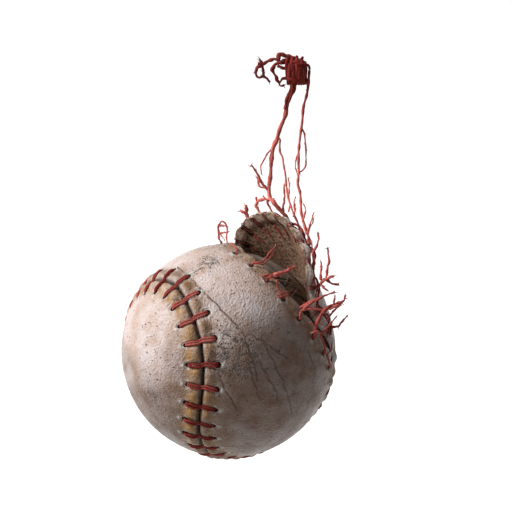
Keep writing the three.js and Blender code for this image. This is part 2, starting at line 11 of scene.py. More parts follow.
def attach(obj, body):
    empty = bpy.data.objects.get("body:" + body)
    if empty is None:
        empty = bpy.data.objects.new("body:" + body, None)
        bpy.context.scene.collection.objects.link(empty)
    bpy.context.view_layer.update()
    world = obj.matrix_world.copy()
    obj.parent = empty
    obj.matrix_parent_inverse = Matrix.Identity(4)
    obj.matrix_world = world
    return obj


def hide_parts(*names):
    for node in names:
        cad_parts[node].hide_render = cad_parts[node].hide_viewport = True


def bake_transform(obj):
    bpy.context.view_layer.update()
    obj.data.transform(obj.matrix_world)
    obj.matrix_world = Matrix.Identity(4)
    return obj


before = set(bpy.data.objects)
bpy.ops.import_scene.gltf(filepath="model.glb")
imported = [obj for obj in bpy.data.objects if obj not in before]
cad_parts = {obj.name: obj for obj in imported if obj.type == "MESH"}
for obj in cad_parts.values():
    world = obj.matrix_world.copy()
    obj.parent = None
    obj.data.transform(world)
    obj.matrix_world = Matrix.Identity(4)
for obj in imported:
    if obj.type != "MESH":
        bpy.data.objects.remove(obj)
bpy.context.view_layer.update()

MM = 0.001
rng = random.Random(11)
# Without a seed, noise_vector starts from the clock
noise.seed_set(11)

# Camera: the photograph's place, roll and lens
CAMERA_AT = (0.0, -716.08, 79.54)
CAMERA_AIM = (1.618, 0.0, -64.478)
CAMERA_UP = (-0.2337, 0.2352, 0.9434)
CAMERA_LENS = 150.1


def add_camera():
    data = bpy.data.cameras.new("camera")
    data.lens = CAMERA_LENS
    data.sensor_width = 36
    data.clip_start, data.clip_end = 0.05, 20
    camera = bpy.data.objects.new("camera", data)
    bpy.context.collection.objects.link(camera)
    at, aim = Vector(CAMERA_AT) * MM, Vector(CAMERA_AIM) * MM
    back = (at - aim).normalized()
    right = Vector(CAMERA_UP).cross(back).normalized()
    up = back.cross(right)
    turn = Matrix((right, up, back)).transposed().to_4x4()
    camera.matrix_world = Matrix.Translation(at) @ turn
    bpy.context.scene.camera = camera


add_camera()


# Ball, in millimetres, as in the model's source
BALL_R = 36.9
LEATHER_T = 1.3
MID_R = BALL_R - LEATHER_T / 2
CENTRE = np.array([0.0, 0.0, -99.0])
SEAM_SHAPE = 0.4063
SEAM_GAP = 0.8
HOLE_INSET = 5.05
HOLE_STRETCH = 1.2
STITCHES = 54
FIRST_STITCH, LAST_STITCH = 8, 45
TORN_TO = 8.2
FLAP_STRAIGHTEN = 0.27
FLAP_FOLD_START = 0.025
FLAP_SKEW = 0.067
FLAP_RIM_W = 5.5
FLAP_RIM_CURL = 0.75
FRONT, REAR = -1, 1

# Step between the rings along a loose thread
THREAD_STEP = 0.32


# Short helpers
def turned(axis, degrees):
    return np.array(Matrix.Rotation(math.radians(degrees), 3, axis))


SEAM_FRAME = turned("X", 22.25) @ turned("Y", -20.41) @ turned("Z", 37.5)


def to_row(points):
    return points @ SEAM_FRAME.T + CENTRE


def smooth(x):
    t = np.clip(x, 0, 1)
    return t * t * (3 - 2 * t)


def unit(v):
    return v / np.linalg.norm(v, axis=-1, keepdims=True)


def bump(x, width):
    return np.exp(-((x / width) ** 2))


def run_of(path):
    """Length along a path, from its first point to each of its points."""
    return np.concatenate([[0], np.cumsum(np.linalg.norm(np.diff(path, axis=0), axis=1))])


# Seam curve
def seam_direction(turn):
    theta = np.pi / 2 - (np.pi / 2 - SEAM_SHAPE) * np.cos(turn)
    phi = turn / 2 + SEAM_SHAPE * np.sin(2 * turn)
    return np.stack([np.sin(theta) * np.cos(phi), np.sin(theta) * np.sin(phi), np.cos(theta)], -1)


TURNS = np.linspace(0, 4 * np.pi, 8001)
LENGTHS = run_of(seam_direction(TURNS))
SEAM_LENGTH = LENGTHS[-1]
SPACING = SEAM_LENGTH / STITCHES


def seam_at(arc):
    return seam_direction(np.interp(np.mod(arc, SEAM_LENGTH), LENGTHS, TURNS))


def seam_side(arc):
    along = unit(seam_at(arc + 0.002) - seam_at(arc - 0.002))
    return unit(np.cross(along, seam_at(arc)))


def beside(arc, offset):
    """Direction at an angle offset from the seam: positive on the rear panel."""
    offset = np.asarray(offset)[..., None]
    return seam_at(arc) * np.cos(offset) + seam_side(arc) * np.sin(offset)


def drift(k):
    """Slip of the stitches along the seam, where the tight turn has pulled them."""
    return 0.075 * np.exp(-(((k - 32) / 4.5) ** 2))


def stitch_arc(k):
    return k * SPACING + drift(np.asarray(k, float))


def between_holes(k):
    """0 at each hole and 1 half way to the next."""
    return 0.5 - 0.5 * np.cos(2 * np.pi * k)


def from_hole(k):
    """Millimetres along the seam from the nearest hole."""
    return (k - np.round(k)) * SPACING * BALL_R


def stitch_number(arc):
    k = arc / SPACING
    for _ in range(3):
        k = (arc - drift(k)) / SPACING
    return k


def cupped(arc, inset, height, curl_scale=1.0):
    """Place on the closed lobe whose rim is cupped inwards, at a height above mid leather."""
    width = (SEAM_GAP / 2 + FLAP_RIM_W) / BALL_R
    base = beside(arc, np.full_like(arc, width))
    latitude = np.arctan2(base[..., 2], base[..., 0])
    curl = FLAP_RIM_CURL * smooth((latitude - 0.08) / 0.35) * curl_scale
    beyond = np.maximum(0, width - inset) * BALL_R
    radius = FLAP_RIM_W / np.maximum(curl, 1e-3)
    angle = beyond / radius
    outward = unit(beside(arc, np.full_like(arc, width - 0.01)) - base)
    rise = MID_R - radius + (radius + height) * np.cos(angle)
    bent = base * rise[..., None] + outward * ((radius + height) * np.sin(angle))[..., None]
    plain = beside(arc, inset) * (MID_R + height)[..., None]
    return np.where(((beyond > 0) & (curl > 2e-3))[..., None], bent, plain)


def relaxed(turn, y):
    """How far the sides of the peeled lobe have moved out of the ball's own curve."""
    far = -0.15 * np.maximum(y, 0) * smooth((turn - 0.1) / 0.65)
    near = np.maximum(-y, 0) * (0.14 * smooth((turn - 0.72) / 0.25) - 0.09 * bump(turn - 0.5, 0.18))
    return far + near


def peeled(points):
    """Bend of the lobe away from the ball, about the fold at its root."""
    x, y, z = points[..., 0], points[..., 1], points[..., 2]
    turn = np.arctan2(z, x) - FLAP_FOLD_START
    rest = np.hypot(x, z) - BALL_R + relaxed(turn, y)
    angle = turn * FLAP_STRAIGHTEN
    bend = BALL_R / FLAP_STRAIGHTEN
    out = BALL_R + rest * np.cos(angle) + bend * (np.cos(angle) - 1)
    up = rest * np.sin(angle) + bend * np.sin(angle)
    c, s = math.cos(FLAP_FOLD_START), math.sin(FLAP_FOLD_START)
    moved = np.stack([c * out - s * up, y + FLAP_SKEW * turn**2 * BALL_R, s * out + c * up], -1)
    return np.where(((turn > 0) & (x > 0))[..., None], moved, points)


def place(arc, offset_mm, height, panel):
    """Row-frame place beside the seam, offset from its middle, at a height above mid leather."""
    arc, offset_mm, height = np.broadcast_arrays(
        np.asarray(arc, float), np.asarray(offset_mm, float), np.asarray(height, float)
    )
    k = stitch_number(arc)
    if panel == REAR:
        in_flap = np.abs(k) < TORN_TO
        plain = beside(arc, offset_mm / BALL_R) * (MID_R + height)[..., None]
        curled = cupped(arc, offset_mm / BALL_R, height, rim_curl(k))
        return to_row(peeled(np.where(in_flap[..., None], curled, plain)))
    return to_row(beside(arc, -offset_mm / BALL_R) * (MID_R + height)[..., None])


def rim_curl(k):
    """The rim is drawn in at each hole and stands off between them."""
    side = 0.3 + 0.5 * smooth((1.0 - k) / 4.0)
    return side * (1 + 0.22 * np.cos(2 * np.pi * k) + 0.1 * np.sin(1.7 * k + 0.5))


def torn(k):
    """1 along the torn part of the seam, 0 where it is laced."""
    return smooth((TORN_TO - np.abs(k)) / 0.8)


# Meshes
def new_object(name, points_mm, faces, materials, body, nodes, attributes, face_material=None):
    mesh = bpy.data.meshes.new(name)
    mesh.from_pydata((np.asarray(points_mm) * MM).tolist(), [], faces)
    for material in materials:
        mesh.materials.append(material)
    if face_material is not None:
        mesh.polygons.foreach_set("material_index", np.asarray(face_material, np.int32))
    mesh.polygons.foreach_set("use_smooth", np.ones(len(mesh.polygons), bool))
    for key, values in attributes.items():
        values = np.asarray(values, np.float32)
        kind = "FLOAT_VECTOR" if values.ndim == 2 else "FLOAT"
        layer = mesh.attributes.new(key, kind, "POINT")
        layer.data.foreach_set("vector" if values.ndim == 2 else "value", values.ravel())
    mesh.update()
    obj = bpy.data.objects.new(name, mesh)
    bpy.context.collection.objects.link(obj)
    if body:
        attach(obj, body)
    if nodes:
        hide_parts(*nodes)
    return obj


def spline(points, step):
    """Catmull-Rom curve through the points, with even steps."""
    p = np.asarray(points, float)
    if len(p) == 2:
        n = max(2, int(np.linalg.norm(p[1] - p[0]) / step))
        return p[0] + (p[1] - p[0]) * np.linspace(0, 1, n + 1)[:, None]
    q = np.vstack([2 * p[0] - p[1], p, 2 * p[-1] - p[-2]])
    t = np.linspace(0, 1, 24, endpoint=False)[:, None]
    out = []
    for a, b, c, d in zip(q[:-3], q[1:-2], q[2:-1], q[3:]):
        out.append(
            0.5 * (2 * b + (c - a) * t + (2 * a - 5 * b + 4 * c - d) * t**2 + (3 * b - a - 3 * c + d) * t**3)
        )
    fine = np.vstack(out + [p[-1:]])
    return evened(fine, step)


def evened(fine, step):
    length = run_of(fine)
    at = np.linspace(0, length[-1], max(3, int(round(length[-1] / step)) + 1))
    return np.stack([np.interp(at, length, fine[:, i]) for i in range(3)], -1)


def sideways(path):
    """Two directions across the path at each of its points, carried along without a twist."""
    tangent = unit(np.gradient(path, axis=0))
    side = np.cross(tangent[0], [0.31, 0.52, 0.8])
    sides = []
    for t in tangent:
        side = side - t * (side @ t)
        side = side / np.linalg.norm(side)
        sides.append(side)
    return np.array(sides), np.cross(tangent, sides)


class Threads:
    """Collects twisted threads into one mesh."""

    def __init__(self):
        self.points, self.faces, self.round, self.tone = [], [], [], []
        self.count = 0

    def add(self, path, radius, plies, pitch, sides, uneven=0.12, taper=0.0, tone=None):
        """One thread of twisted plies along a path; without a tone it gets one at random."""
        path = np.asarray(path, float)
        n = len(path)
        side, other = sideways(path)
        run = run_of(path)
        seed = rng.uniform(0, 100)
        swell = np.array([noise.noise(Vector((seed, x * 0.55, 0))) for x in run])
        size = radius * (1 + 2 * uneven * swell)
        if taper:
            size *= 1 - taper * smooth((run - run[-1] * 0.45) / (run[-1] * 0.55))
        angle = np.linspace(0, 2 * np.pi, sides, endpoint=False)
        lobe = np.abs(np.cos(plies / 2 * (angle[None, :] - 2 * np.pi * run[:, None] / pitch)))
        wide = size[:, None] * (0.8 + 0.26 * lobe**0.7)
        ring = (
            path[:, None, :]
            + side[:, None, :] * (np.cos(angle) * wide)[..., None]
            + other[:, None, :] * (np.sin(angle) * wide)[..., None]
        )
        base = self.count
        self.points.append(ring.reshape(-1, 3))
        self.round.append(lobe.ravel())
        self.tone.append(np.full(n * sides, rng.random() if tone is None else tone))
        for a in range(base, base + (n - 1) * sides, sides):
            for j in range(sides):
                k = (j + 1) % sides
                self.faces.append((a + j, a + k, a + sides + k, a + sides + j))
        self.faces.append(tuple(base + j for j in reversed(range(sides))))
        self.faces.append(tuple(base + (n - 1) * sides + j for j in range(sides)))
        self.count += n * sides
        return path

    def fray(self, path, radius, count, length):
        """Loose fibres at the end of a thread."""
        end, before = path[-1], path[-4 if len(path) > 4 else 0]
        ahead = unit(end - before)
        for _ in range(count):
            out = unit(ahead + np.array([rng.gauss(0, 0.45) for _ in range(3)]))
            bend = unit(out + np.array([rng.gauss(0, 0.5) for _ in range(3)]))
            reach = length * rng.uniform(0.5, 1.1)
            start = end - ahead * radius * 1.5
            middle = start + out * reach * 0.5
            line = spline([start, middle, middle + bend * reach * 0.5], 0.35)
            self.add(line, radius * 0.28, plies=2, pitch=1.2, sides=5, taper=0.6)

    def fuzz(self, path, radius, count):
        """Short fibres that stand off along a thread."""
        for _ in range(count):
            at = rng.randrange(2, max(3, len(path) - 3))
            ahead = unit(path[at + 1] - path[at]) * rng.choice((-1, 1))
            out = unit(np.cross(ahead, [rng.gauss(0, 1) for _ in range(3)]))
            reach = rng.uniform(0.8, 2.2)
            start = path[at] + out * radius * 0.6
            middle = start + (out * 0.5 + ahead) * reach * 0.5
            line = spline([start, middle, start + (out + ahead) * reach * 0.6], 0.3)
            self.add(line, min(0.08, radius * 0.18), plies=2, pitch=1.2, sides=5, taper=0.6, tone=0.9)

    def build(self, name, material, body, slot, *nodes):
        marks = {"ply": np.concatenate(self.round), "tone": np.concatenate(self.tone)}
        return new_object(name, np.vstack(self.points), self.faces, [material], body, nodes, marks)


# Materials
class Nodes:
    """A short way to write the nodes of a material, or of the world."""

    def __init__(self, name, kind=bpy.data.materials):
        self.owner = kind.new(name)
        self.owner.use_nodes = True
        self.tree = self.owner.node_tree

    def node(self, kind, inputs=(), **settings):
        made = self.tree.nodes.new(kind)
        for key, value in settings.items():
            setattr(made, key, value)
        for key, value in dict(inputs).items():
            if isinstance(value, bpy.types.NodeSocket):
                self.tree.links.new(value, made.inputs[key])
            else:
                made.inputs[key].default_value = value
        return made

    def attribute(self, name, output="Fac"):
        return self.node("ShaderNodeAttribute", attribute_name=name).outputs[output]

    def place(self):
        return self.node("ShaderNodeTexCoord").outputs["Object"]

    def math(self, operation, a, b=0.0):
        return self.node("ShaderNodeMath", {0: a, 1: b}, operation=operation).outputs[0]

    def times(self, a, b):
        return self.math("MULTIPLY", a, b)

    def plus(self, a, b):
        return self.math("ADD", a, b)

    def opposite(self, a):
        return self.math("SUBTRACT", 1.0, a)

    def vector(self, operation, *values, output=0):
        made = self.node("ShaderNodeVectorMath", dict(enumerate(values)), operation=operation)
        return made.outputs[output]

    def ramp(self, value, low, high, to_low=0.0, to_high=1.0):
        limits = {"From Min": low, "From Max": high, "To Min": to_low, "To Max": to_high}
        return self.node("ShaderNodeMapRange", {"Value": value, **limits}).outputs["Result"]

    def noise(self, where, scale, detail=3.0, rough=0.55, output="Fac"):
        inputs = {"Vector": where, "Scale": scale, "Detail": detail, "Roughness": rough}
        return self.node("ShaderNodeTexNoise", inputs).outputs[output]

    def cells(self, where, scale, output="Distance"):
        return self.node("ShaderNodeTexVoronoi", {"Vector": where, "Scale": scale}).outputs[output]

    def fill(self, socket, value):
        """A node's output is linked to the socket, a colour or a number is set on it."""
        if isinstance(value, bpy.types.NodeSocket):
            self.tree.links.new(value, socket)
        else:
            socket.default_value = (*value, 1.0) if isinstance(value, tuple) else value

    def mix(self, amount, a, b):
        made = self.node("ShaderNodeMix", data_type="RGBA")
        for socket, value in ((made.inputs[0], amount), (made.inputs[6], a), (made.inputs[7], b)):
            self.fill(socket, value)
        return made.outputs[2]

    def bump(self, height, distance, strength=1.0, below=None):
        inputs = {"Height": height, "Distance": distance, "Strength": strength}
        if below is not None:
            inputs["Normal"] = below
        return self.node("ShaderNodeBump", inputs).outputs["Normal"]

    def finish(self, **sockets):
        shader = self.tree.nodes["Principled BSDF"]
        for key, value in sockets.items():
            self.fill(shader.inputs[key.replace("_", " ")], value)
        return self.owner


# Ends of the cracks, on the ball in the seam's own frame
CRACKS = [
    ((-9.3, 8.6, 34.6), (-9.7, -10.3, 34.1)),
    ((-9.7, -10.3, 34.1), (-5.7, -27.8, 23.6)),
    ((-5.7, -27.8, 23.6), (-6.9, -35.1, 8.9)),
    ((-1.1, -30.2, 21.2), (3.0, -35.6, -9.2)),
    ((-18.1, -28.9, 14.1), (-15.8, -33.2, 1.7)),
    ((-5.0, -31.6, 18.5), (-1.2, -36.9, -1.2)),
    ((-8.4, -33.2, 13.8), (-7.6, -36.0, 0.5)),
    ((-3.1, -29.0, 22.6), (6.5, -34.9, 9.8)),
    ((-11.4, -0.9, 35.1), (-6.3, -1.3, 36.3)),
    ((13.7, -32.5, 10.7), (15.5, -33.5, -0.3)),
]


def crack_distance(n, where):
    """Distance in millimetres to the nearest crack, each of them an arc of a great circle."""
    wobble = n.vector("SUBTRACT", n.noise(where, 0.3, 4, output="Color"), (0.5, 0.5, 0.5))
    shifted = n.vector("MULTIPLY_ADD", wobble, (2.4, 2.4, 2.4), where)
    nearest = None
    for ends in CRACKS:
        a, b = unit(np.array(ends))
        across, middle = unit(np.cross(a, b)), unit(a + b)
        aside = n.vector("DOT_PRODUCT", shifted, tuple(across), output="Value")
        along = n.vector("DOT_PRODUCT", shifted, tuple(middle), output="Value")
        past = n.math("MAXIMUM", n.math("SUBTRACT", float(a @ middle) * BALL_R, along), 0.0)
        away = n.plus(n.math("ABSOLUTE", aside), n.times(past, 5.0))
        nearest = away if nearest is None else n.math("MINIMUM", nearest, away)
    return nearest


def leather_material():
    n = Nodes("worn_leather")
    where = n.attribute("rest", "Vector")
    broad = n.noise(where, 0.055, 3)
    patch = n.noise(where, 0.16, 4)
    colour = n.mix(n.ramp(broad, 0.35, 0.68), (0.63, 0.465, 0.385), (0.80, 0.70, 0.70))
    colour = n.mix(n.ramp(patch, 0.5, 0.72, 0, 0.6), colour, (0.47, 0.27, 0.15))
    # Soil, and painted shade on the side turned down and away from the key lamp
    soil_and_shade = n.times(n.attribute("soil_and_shade"), n.ramp(patch, 0.25, 0.7, 0.55, 1.0))
    colour = n.mix(soil_and_shade, colour, (0.135, 0.06, 0.027))
    # Old dressing that has turned ochre beside the seam
    stain = n.times(n.attribute("stain"), n.ramp(n.noise(where, 0.3, 4), 0.3, 0.62, 0.25, 1.0))
    colour = n.mix(stain, colour, (0.36, 0.175, 0.038))
    # Pebbled grain
    warped = n.vector("MULTIPLY_ADD", n.noise(where, 0.6, 2, output="Color"), (0.9, 0.9, 0.9), where)
    pebble = n.cells(warped, 1.25)
    small = n.cells(warped, 2.7)
    fine = n.noise(where, 4.2, 5, 0.65)
    crease = n.ramp(pebble, 0.45, 0.85)
    colour = n.mix(n.times(crease, 0.2), colour, (0.24, 0.15, 0.10))
    # Pits, dense in one rough patch, scattered elsewhere
    pit_size = n.plus(n.cells(warped, 1.05), n.times(n.noise(where, 1.3, 2), 0.3))
    pit_pick = n.node("ShaderNodeSeparateColor", {0: n.cells(warped, 1.05, output="Color")}).outputs[0]
    pit_limit = n.plus(n.times(n.attribute("pitted"), 1.1), 0.05)
    chosen = n.math("LESS_THAN", pit_pick, pit_limit)
    pit = n.times(chosen, n.ramp(n.plus(pit_size, n.times(fine, 0.35)), 0.48, 0.66, 1.0, 0.0))
    rough_patch = n.times(n.attribute("pitted"), n.ramp(n.noise(where, 0.55, 5, 0.7), 0.5, 0.58))
    colour = n.mix(n.times(rough_patch, 0.85), colour, (0.075, 0.045, 0.032))
    colour = n.mix(pit, colour, (0.035, 0.022, 0.016))
    # Small dark specks
    speck = n.ramp(n.noise(where, 1.7, 2, 0.5), 0.71, 0.76)
    colour = n.mix(n.times(speck, 0.5), colour, (0.12, 0.08, 0.06))
    # Cracks and scratches
    crack = n.times(n.ramp(crack_distance(n, where), 0.1, 0.42, 1.0, 0.0), n.attribute("crack_side"))
    crack = n.times(crack, n.ramp(n.noise(where, 0.6, 3), 0.36, 0.5, 0.55, 1.0))
    colour = n.mix(n.times(crack, 0.78), colour, (0.14, 0.055, 0.03))
    # Dirt in the groove and painted shade in the holes, worn pale crest beside it with a painted highlight,
    # pale lips of the holes
    colour = n.mix(n.attribute("pale_and_highlight"), colour, (0.80, 0.74, 0.69))
    colour = n.mix(n.attribute("dirt_and_shade"), colour, (0.045, 0.03, 0.022))
    bump = n.bump(n.opposite(n.times(pebble, pebble)), 0.0004, 0.62)
    bump = n.bump(n.opposite(small), 0.00014, 0.6, bump)
    bump = n.bump(n.noise(where, 0.33, 3), 0.0004, 0.5, bump)
    bump = n.bump(fine, 0.00013, 0.4, bump)
    hollow = n.plus(n.plus(pit, n.times(crack, 0.8)), n.times(rough_patch, 0.7))
    bump = n.bump(n.opposite(hollow), 0.0006, 0.9, bump)
    roughness = n.ramp(n.plus(patch, n.times(fine, 0.5)), 0.5, 1.1, 0.3, 0.52)
    return n.finish(Base_Color=colour, Normal=bump, Roughness=roughness, Specular_IOR_Level=0.33)


def flesh_material():
    n = Nodes("leather_flesh_side")
    where = n.attribute("rest", "Vector")
    patch = n.noise(where, 0.14, 4)
    nap = n.noise(where, 1.15, 6, 0.7)
    colour = n.mix(n.ramp(patch, 0.3, 0.7), (0.37, 0.205, 0.13), (0.60, 0.38, 0.26))
    colour = n.mix(n.ramp(nap, 0.46, 0.58, 0, 0.85), colour, (0.042, 0.021, 0.012))
    # Painted highlight on the pads between the creases
    pale_and_highlight = n.times(n.attribute("pale_and_highlight"), n.ramp(nap, 0.3, 0.6, 1.0, 0.5))
    colour = n.mix(pale_and_highlight, colour, (0.50, 0.37, 0.31))
    stain = n.ramp(n.noise(where, 0.42, 4), 0.55, 0.7, 0, 0.5)
    colour = n.mix(stain, colour, (0.30, 0.17, 0.08))
    # Dirt, with painted shade in the holes and along the creases, nearly black
    colour = n.mix(n.attribute("dirt_and_shade"), colour, (0.02, 0.014, 0.012))
    bump = n.bump(n.opposite(nap), 0.0007, 0.9)
    return n.finish(Base_Color=colour, Normal=bump, Roughness=0.95, Specular_IOR_Level=0.05)


def edge_material():
    n = Nodes("leather_cut_edge")
    where = n.attribute("rest", "Vector")
    fibre = n.noise(where, 2.6, 5, 0.7)
    colour = n.mix(n.ramp(fibre, 0.35, 0.7), (0.42, 0.32, 0.24), (0.66, 0.57, 0.49))
    colour = n.mix(n.ramp(n.noise(where, 0.35, 3), 0.5, 0.72, 0, 0.7), colour, (0.20, 0.13, 0.08))
    colour = n.mix(n.times(n.attribute("stain"), 0.4), colour, (0.36, 0.21, 0.06))
    # Soil, and painted shade on the side turned down and away from the key lamp
    colour = n.mix(n.attribute("soil_and_shade"), colour, (0.12, 0.066, 0.035))
    bump = n.bump(fibre, 0.00025, 0.8)
    return n.finish(Base_Color=colour, Normal=bump, Roughness=0.85, Specular_IOR_Level=0.1)


def thread_material():
    n = Nodes("red_waxed_thread")
    tone, ply = n.attribute("tone"), n.attribute("ply")
    where = n.place()
    grime = n.noise(where, 260.0, 4, 0.6)
    fibre = n.noise(where, 5200.0, 2, 0.6)
    # Darker towards the knot at the top, lighter lower down
    height = n.node("ShaderNodeSeparateXYZ", {0: where}).outputs["Z"]
    tone = n.times(tone, n.ramp(height, -0.032, -0.006, 1.0, 0.25))
    # The tone runs from dark maroon to bright coral: the stitches get its dark end as painted shade, the
    # strands its bright end as painted light
    colour = n.mix(tone, (0.19, 0.011, 0.009), (0.95, 0.255, 0.21))
    # Painted shade in the grooves between the plies
    colour = n.mix(n.ramp(ply, 0.0, 0.6, 0.5, 0.0), colour, (0.10, 0.008, 0.007))
    colour = n.mix(n.ramp(grime, 0.5, 0.72, 0, 0.5), colour, (0.14, 0.018, 0.014))
    colour = n.mix(n.ramp(fibre, 0.58, 0.8, 0, 0.12), colour, (0.68, 0.27, 0.23))
    bump = n.bump(fibre, 0.00002, 0.5)
    return n.finish(Base_Color=colour, Normal=bump, Roughness=0.6, Specular_IOR_Level=0.1)


def yarn_material(name, dark, light):
    n = Nodes(name)
    tone, ply = n.attribute("tone"), n.attribute("ply")
    where = n.place()
    colour = n.mix(tone, dark, light)
    fuzz = n.noise(where, 2400.0, 4, 0.7)
    # Painted shade in the grooves between the plies
    colour = n.mix(n.ramp(ply, 0.0, 0.7, 0.65, 0.0), colour, tuple(0.35 * c for c in dark))
    colour = n.mix(n.ramp(fuzz, 0.5, 0.75, 0, 0.5), colour, tuple(min(1, 1.35 * c) for c in light))
    bump = n.bump(fuzz, 0.00012, 0.8)
    return n.finish(Base_Color=colour, Normal=bump, Roughness=0.95, Specular_IOR_Level=0.05)


def rubber_material(name, dark, light):
    n = Nodes(name)
    where = n.place()
    speckle = n.noise(where, 900.0, 4, 0.6)
    colour = n.mix(n.ramp(speckle, 0.4, 0.65), dark, light)
    bump = n.bump(speckle, 0.0001, 0.4)
    return n.finish(Base_Color=colour, Normal=bump, Roughness=0.6, Specular_IOR_Level=0.4)


def cork_material():
    n = Nodes("ground_cork")
    where = n.place()
    grain = n.cells(where, 700.0, output="Color")
    pick = n.node("ShaderNodeSeparateColor", {0: grain}).outputs[0]
    colour = n.mix(pick, (0.30, 0.17, 0.085), (0.62, 0.42, 0.25))
    gaps = n.ramp(n.cells(where, 700.0), 0.35, 0.6)
    colour = n.mix(gaps, colour, (0.10, 0.05, 0.03))
    return n.finish(Base_Color=colour, Normal=n.bump(n.opposite(gaps), 0.0002, 0.6), Roughness=0.9)


LEATHER = leather_material()
FLESH = flesh_material()
EDGE = edge_material()
THREAD = thread_material()
YARN = yarn_material("grey_wool_yarn", (0.085, 0.062, 0.048), (0.36, 0.29, 0.235))
WHITE_YARN = yarn_material("white_wool_yarn", (0.5, 0.46, 0.38), (0.75, 0.71, 0.63))


# Cords, from the model's own routes
def flap_hole(k, height):
    inset = HOLE_INSET / BALL_R
    arc = np.array([stitch_arc(k)])
    return to_row(peeled(cupped(arc, np.array([inset]), np.array([height]))))[0]


def front_hole(k, radius):
    return to_row(beside(stitch_arc(k), -HOLE_INSET / BALL_R) * radius)


def rim_hole(k, reach=1.4):
    """Points that run down through a hole of the flap's rim, from outside."""
    return [flap_hole(k, LEATHER_T / 2 + reach), flap_hole(k, -0.3)]


def strand(name, radius, route, body, *nodes):
    made = Threads()
    # The strands get the thread's brightest tone: painted light
    line = made.add(spline(route, 0.45), radius, plies=4, pitch=22, sides=12, uneven=0.2, tone=1.0)
    made.fuzz(line, radius, count=9)
    obj = made.build(name, THREAD, body, "red_thread", *nodes)
    return obj


strand(
    "strand_left_thread", 0.7,
    [(-0.3, 0, -11.4), (0.1, 0, -15.2), (-0.6, 0.3, -19.9), (-0.8, 0.5, -23.8), (-1.3, 0.6, -26.7),
     (-0.9, 0.8, -31.2), (0, 0.9, -36.3), (0.5, 1, -40.8), (1.6, 0.4, -43.6), (4.2, -1, -45.6),
     *rim_hole(0)],
    "flap", "strand_left",
)
strand(
    "strand_inner_thread", 0.35,
    [(-0.4, 0.35, -22.9), (0.3, 0.1, -23.6), (0.5, 0, -24.8), (1.2, -0.2, -27.4), (2.5, -0.6, -29.1),
     (3.4, -1, -31.3), (4.8, -1.5, -34.4), (6.1, -2.2, -38.2), (7.6, -3.2, -41.7), (10.4, -4.6, -46),
     *rim_hole(-1)],
    "flap", "strand_inner",
)
strand_right = strand(
    "strand_right_thread", 0.46,
    [(4.4, 0.5, 1.8), (5.3, 0.4, -3.9), (5.5, 0.1, -6.9), (5.4, -0.4, -10.9), (6.1, -1.5, -15.3),
     (6.6, -2.2, -20.2), (7.2, -3, -24.8), (8.1, -3.7, -29), (9, -4.2, -32.2), (9.6, -5, -36),
     (11.1, -5.5, -38.8), (12.2, -6.2, -42.3), (13.2, -6.8, -45.5), (16, -7.6, -50.4), *rim_hole(-2)],
    None, "strand_right", "strand_right_top",
)
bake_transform(strand_right)


# Leather panels
COLUMNS = 16 * STITCHES

# Rows of points: at these depths from the cut edge, then evenly from there to the panel's spine
EDGE_ROWS = np.array(
    [0, 0.15, 0.35, 0.6, 0.9, 1.25, 1.65, 2.1, 2.55, 3, 3.5, 4, 4.5, 5, 5.5, 6, 6.6, 7.3, 8.1, 9]
)
INNER_ROWS = 16
INNER_REACH = 8
SPINE_SHORT = 0.42

# Pitted patches: middle in the seam's frame, reach, strength
PITTED = [((-10, -31.2, 17), 6.5, 1.0), ((-12.4, -26.9, 22), 5, 0.6), ((-7, -29, 21.5), 5, 0.6),
          ((-1.1, -0.1, 36.9), 3.6, 0.9), ((-34.9, -11.8, 2.4), 3.5, 0.6), ((-16.7, -7.1, 32.1), 3, 0.7),
          ((10.3, -30, 18.8), 6, 0.25), ((5, 30, 21), 5, 0.5), ((-30, 18, -12), 5, 0.5),
          ((12, 8, -34), 6, 0.4)]


def edge_inset(k):
    """Where the cut edge lies: close to the seam where it is laced, notched at the holes where it is torn."""
    notch = 0.4 + 0.55 * (0.5 + 0.5 * np.cos(2 * np.pi * k))
    return 0.16 + (notch - 0.16) * torn(k)


def hole_distance(k, inset, stretch=HOLE_STRETCH):
    """Distance to the nearest hole's middle, for a hole drawn out across the seam."""
    return np.hypot(from_hole(k), (inset - HOLE_INSET) / stretch)


def relief(k, inset):
    """Height of the leather beside the seam: rolled in, drawn down at the holes, puffed between them."""
    loose = torn(k)
    edge = inset - edge_inset(k)
    rolled = -(1.0 - 0.4 * loose) * bump(edge, 0.62)
    pulled = -(0.62 - 0.3 * loose) * bump(from_hole(k), 1.15) * smooth((5.8 - inset) / 1.8)
    pillow = (0.85 - 0.4 * loose) * bump(edge - 2.3, 1.6) * between_holes(k)**0.8
    trough = -0.32 * bump(inset - 6.0, 1.7) * (0.6 + 0.4 * np.cos(2 * np.pi * k))
    return rolled + pulled + pillow + trough


def hole_relief(k, inset):
    """Dent, raised lip and small heap at each punched hole."""
    away = hole_distance(k, inset)
    pit = (0.85 * torn(k) - 1.5) * np.exp(-((away / 0.98) ** 4))
    lip = 0.3 * bump(away - 1.35, 0.45)
    return pit + lip + 0.22 * bump(np.hypot(from_hole(k), inset - HOLE_INSET - 1.6), 0.85)


def from_crease(k):
    """Steps along the seam from the nearest crease, which lies a little beside its hole."""
    return k - np.round(k) + 0.06 * np.sin(5 * k)


def pleats(k, inset):
    """Flesh side of the torn rim: a soft pad between holes, a crease at each hole, a thinned edge."""
    away = np.abs(from_crease(k))
    pad = -0.8 * bump(inset - 2.9, 1.6) * smooth(away / 0.32)
    crease = 0.55 * bump(away * SPACING * BALL_R, 0.55)
    crease *= smooth((5.6 - inset) / 1.2) * smooth((inset - 0.9) / 1.2)
    thinned = 0.5 * bump(inset - 0.4, 0.7)
    return torn(k) * (pad + crease + thinned)


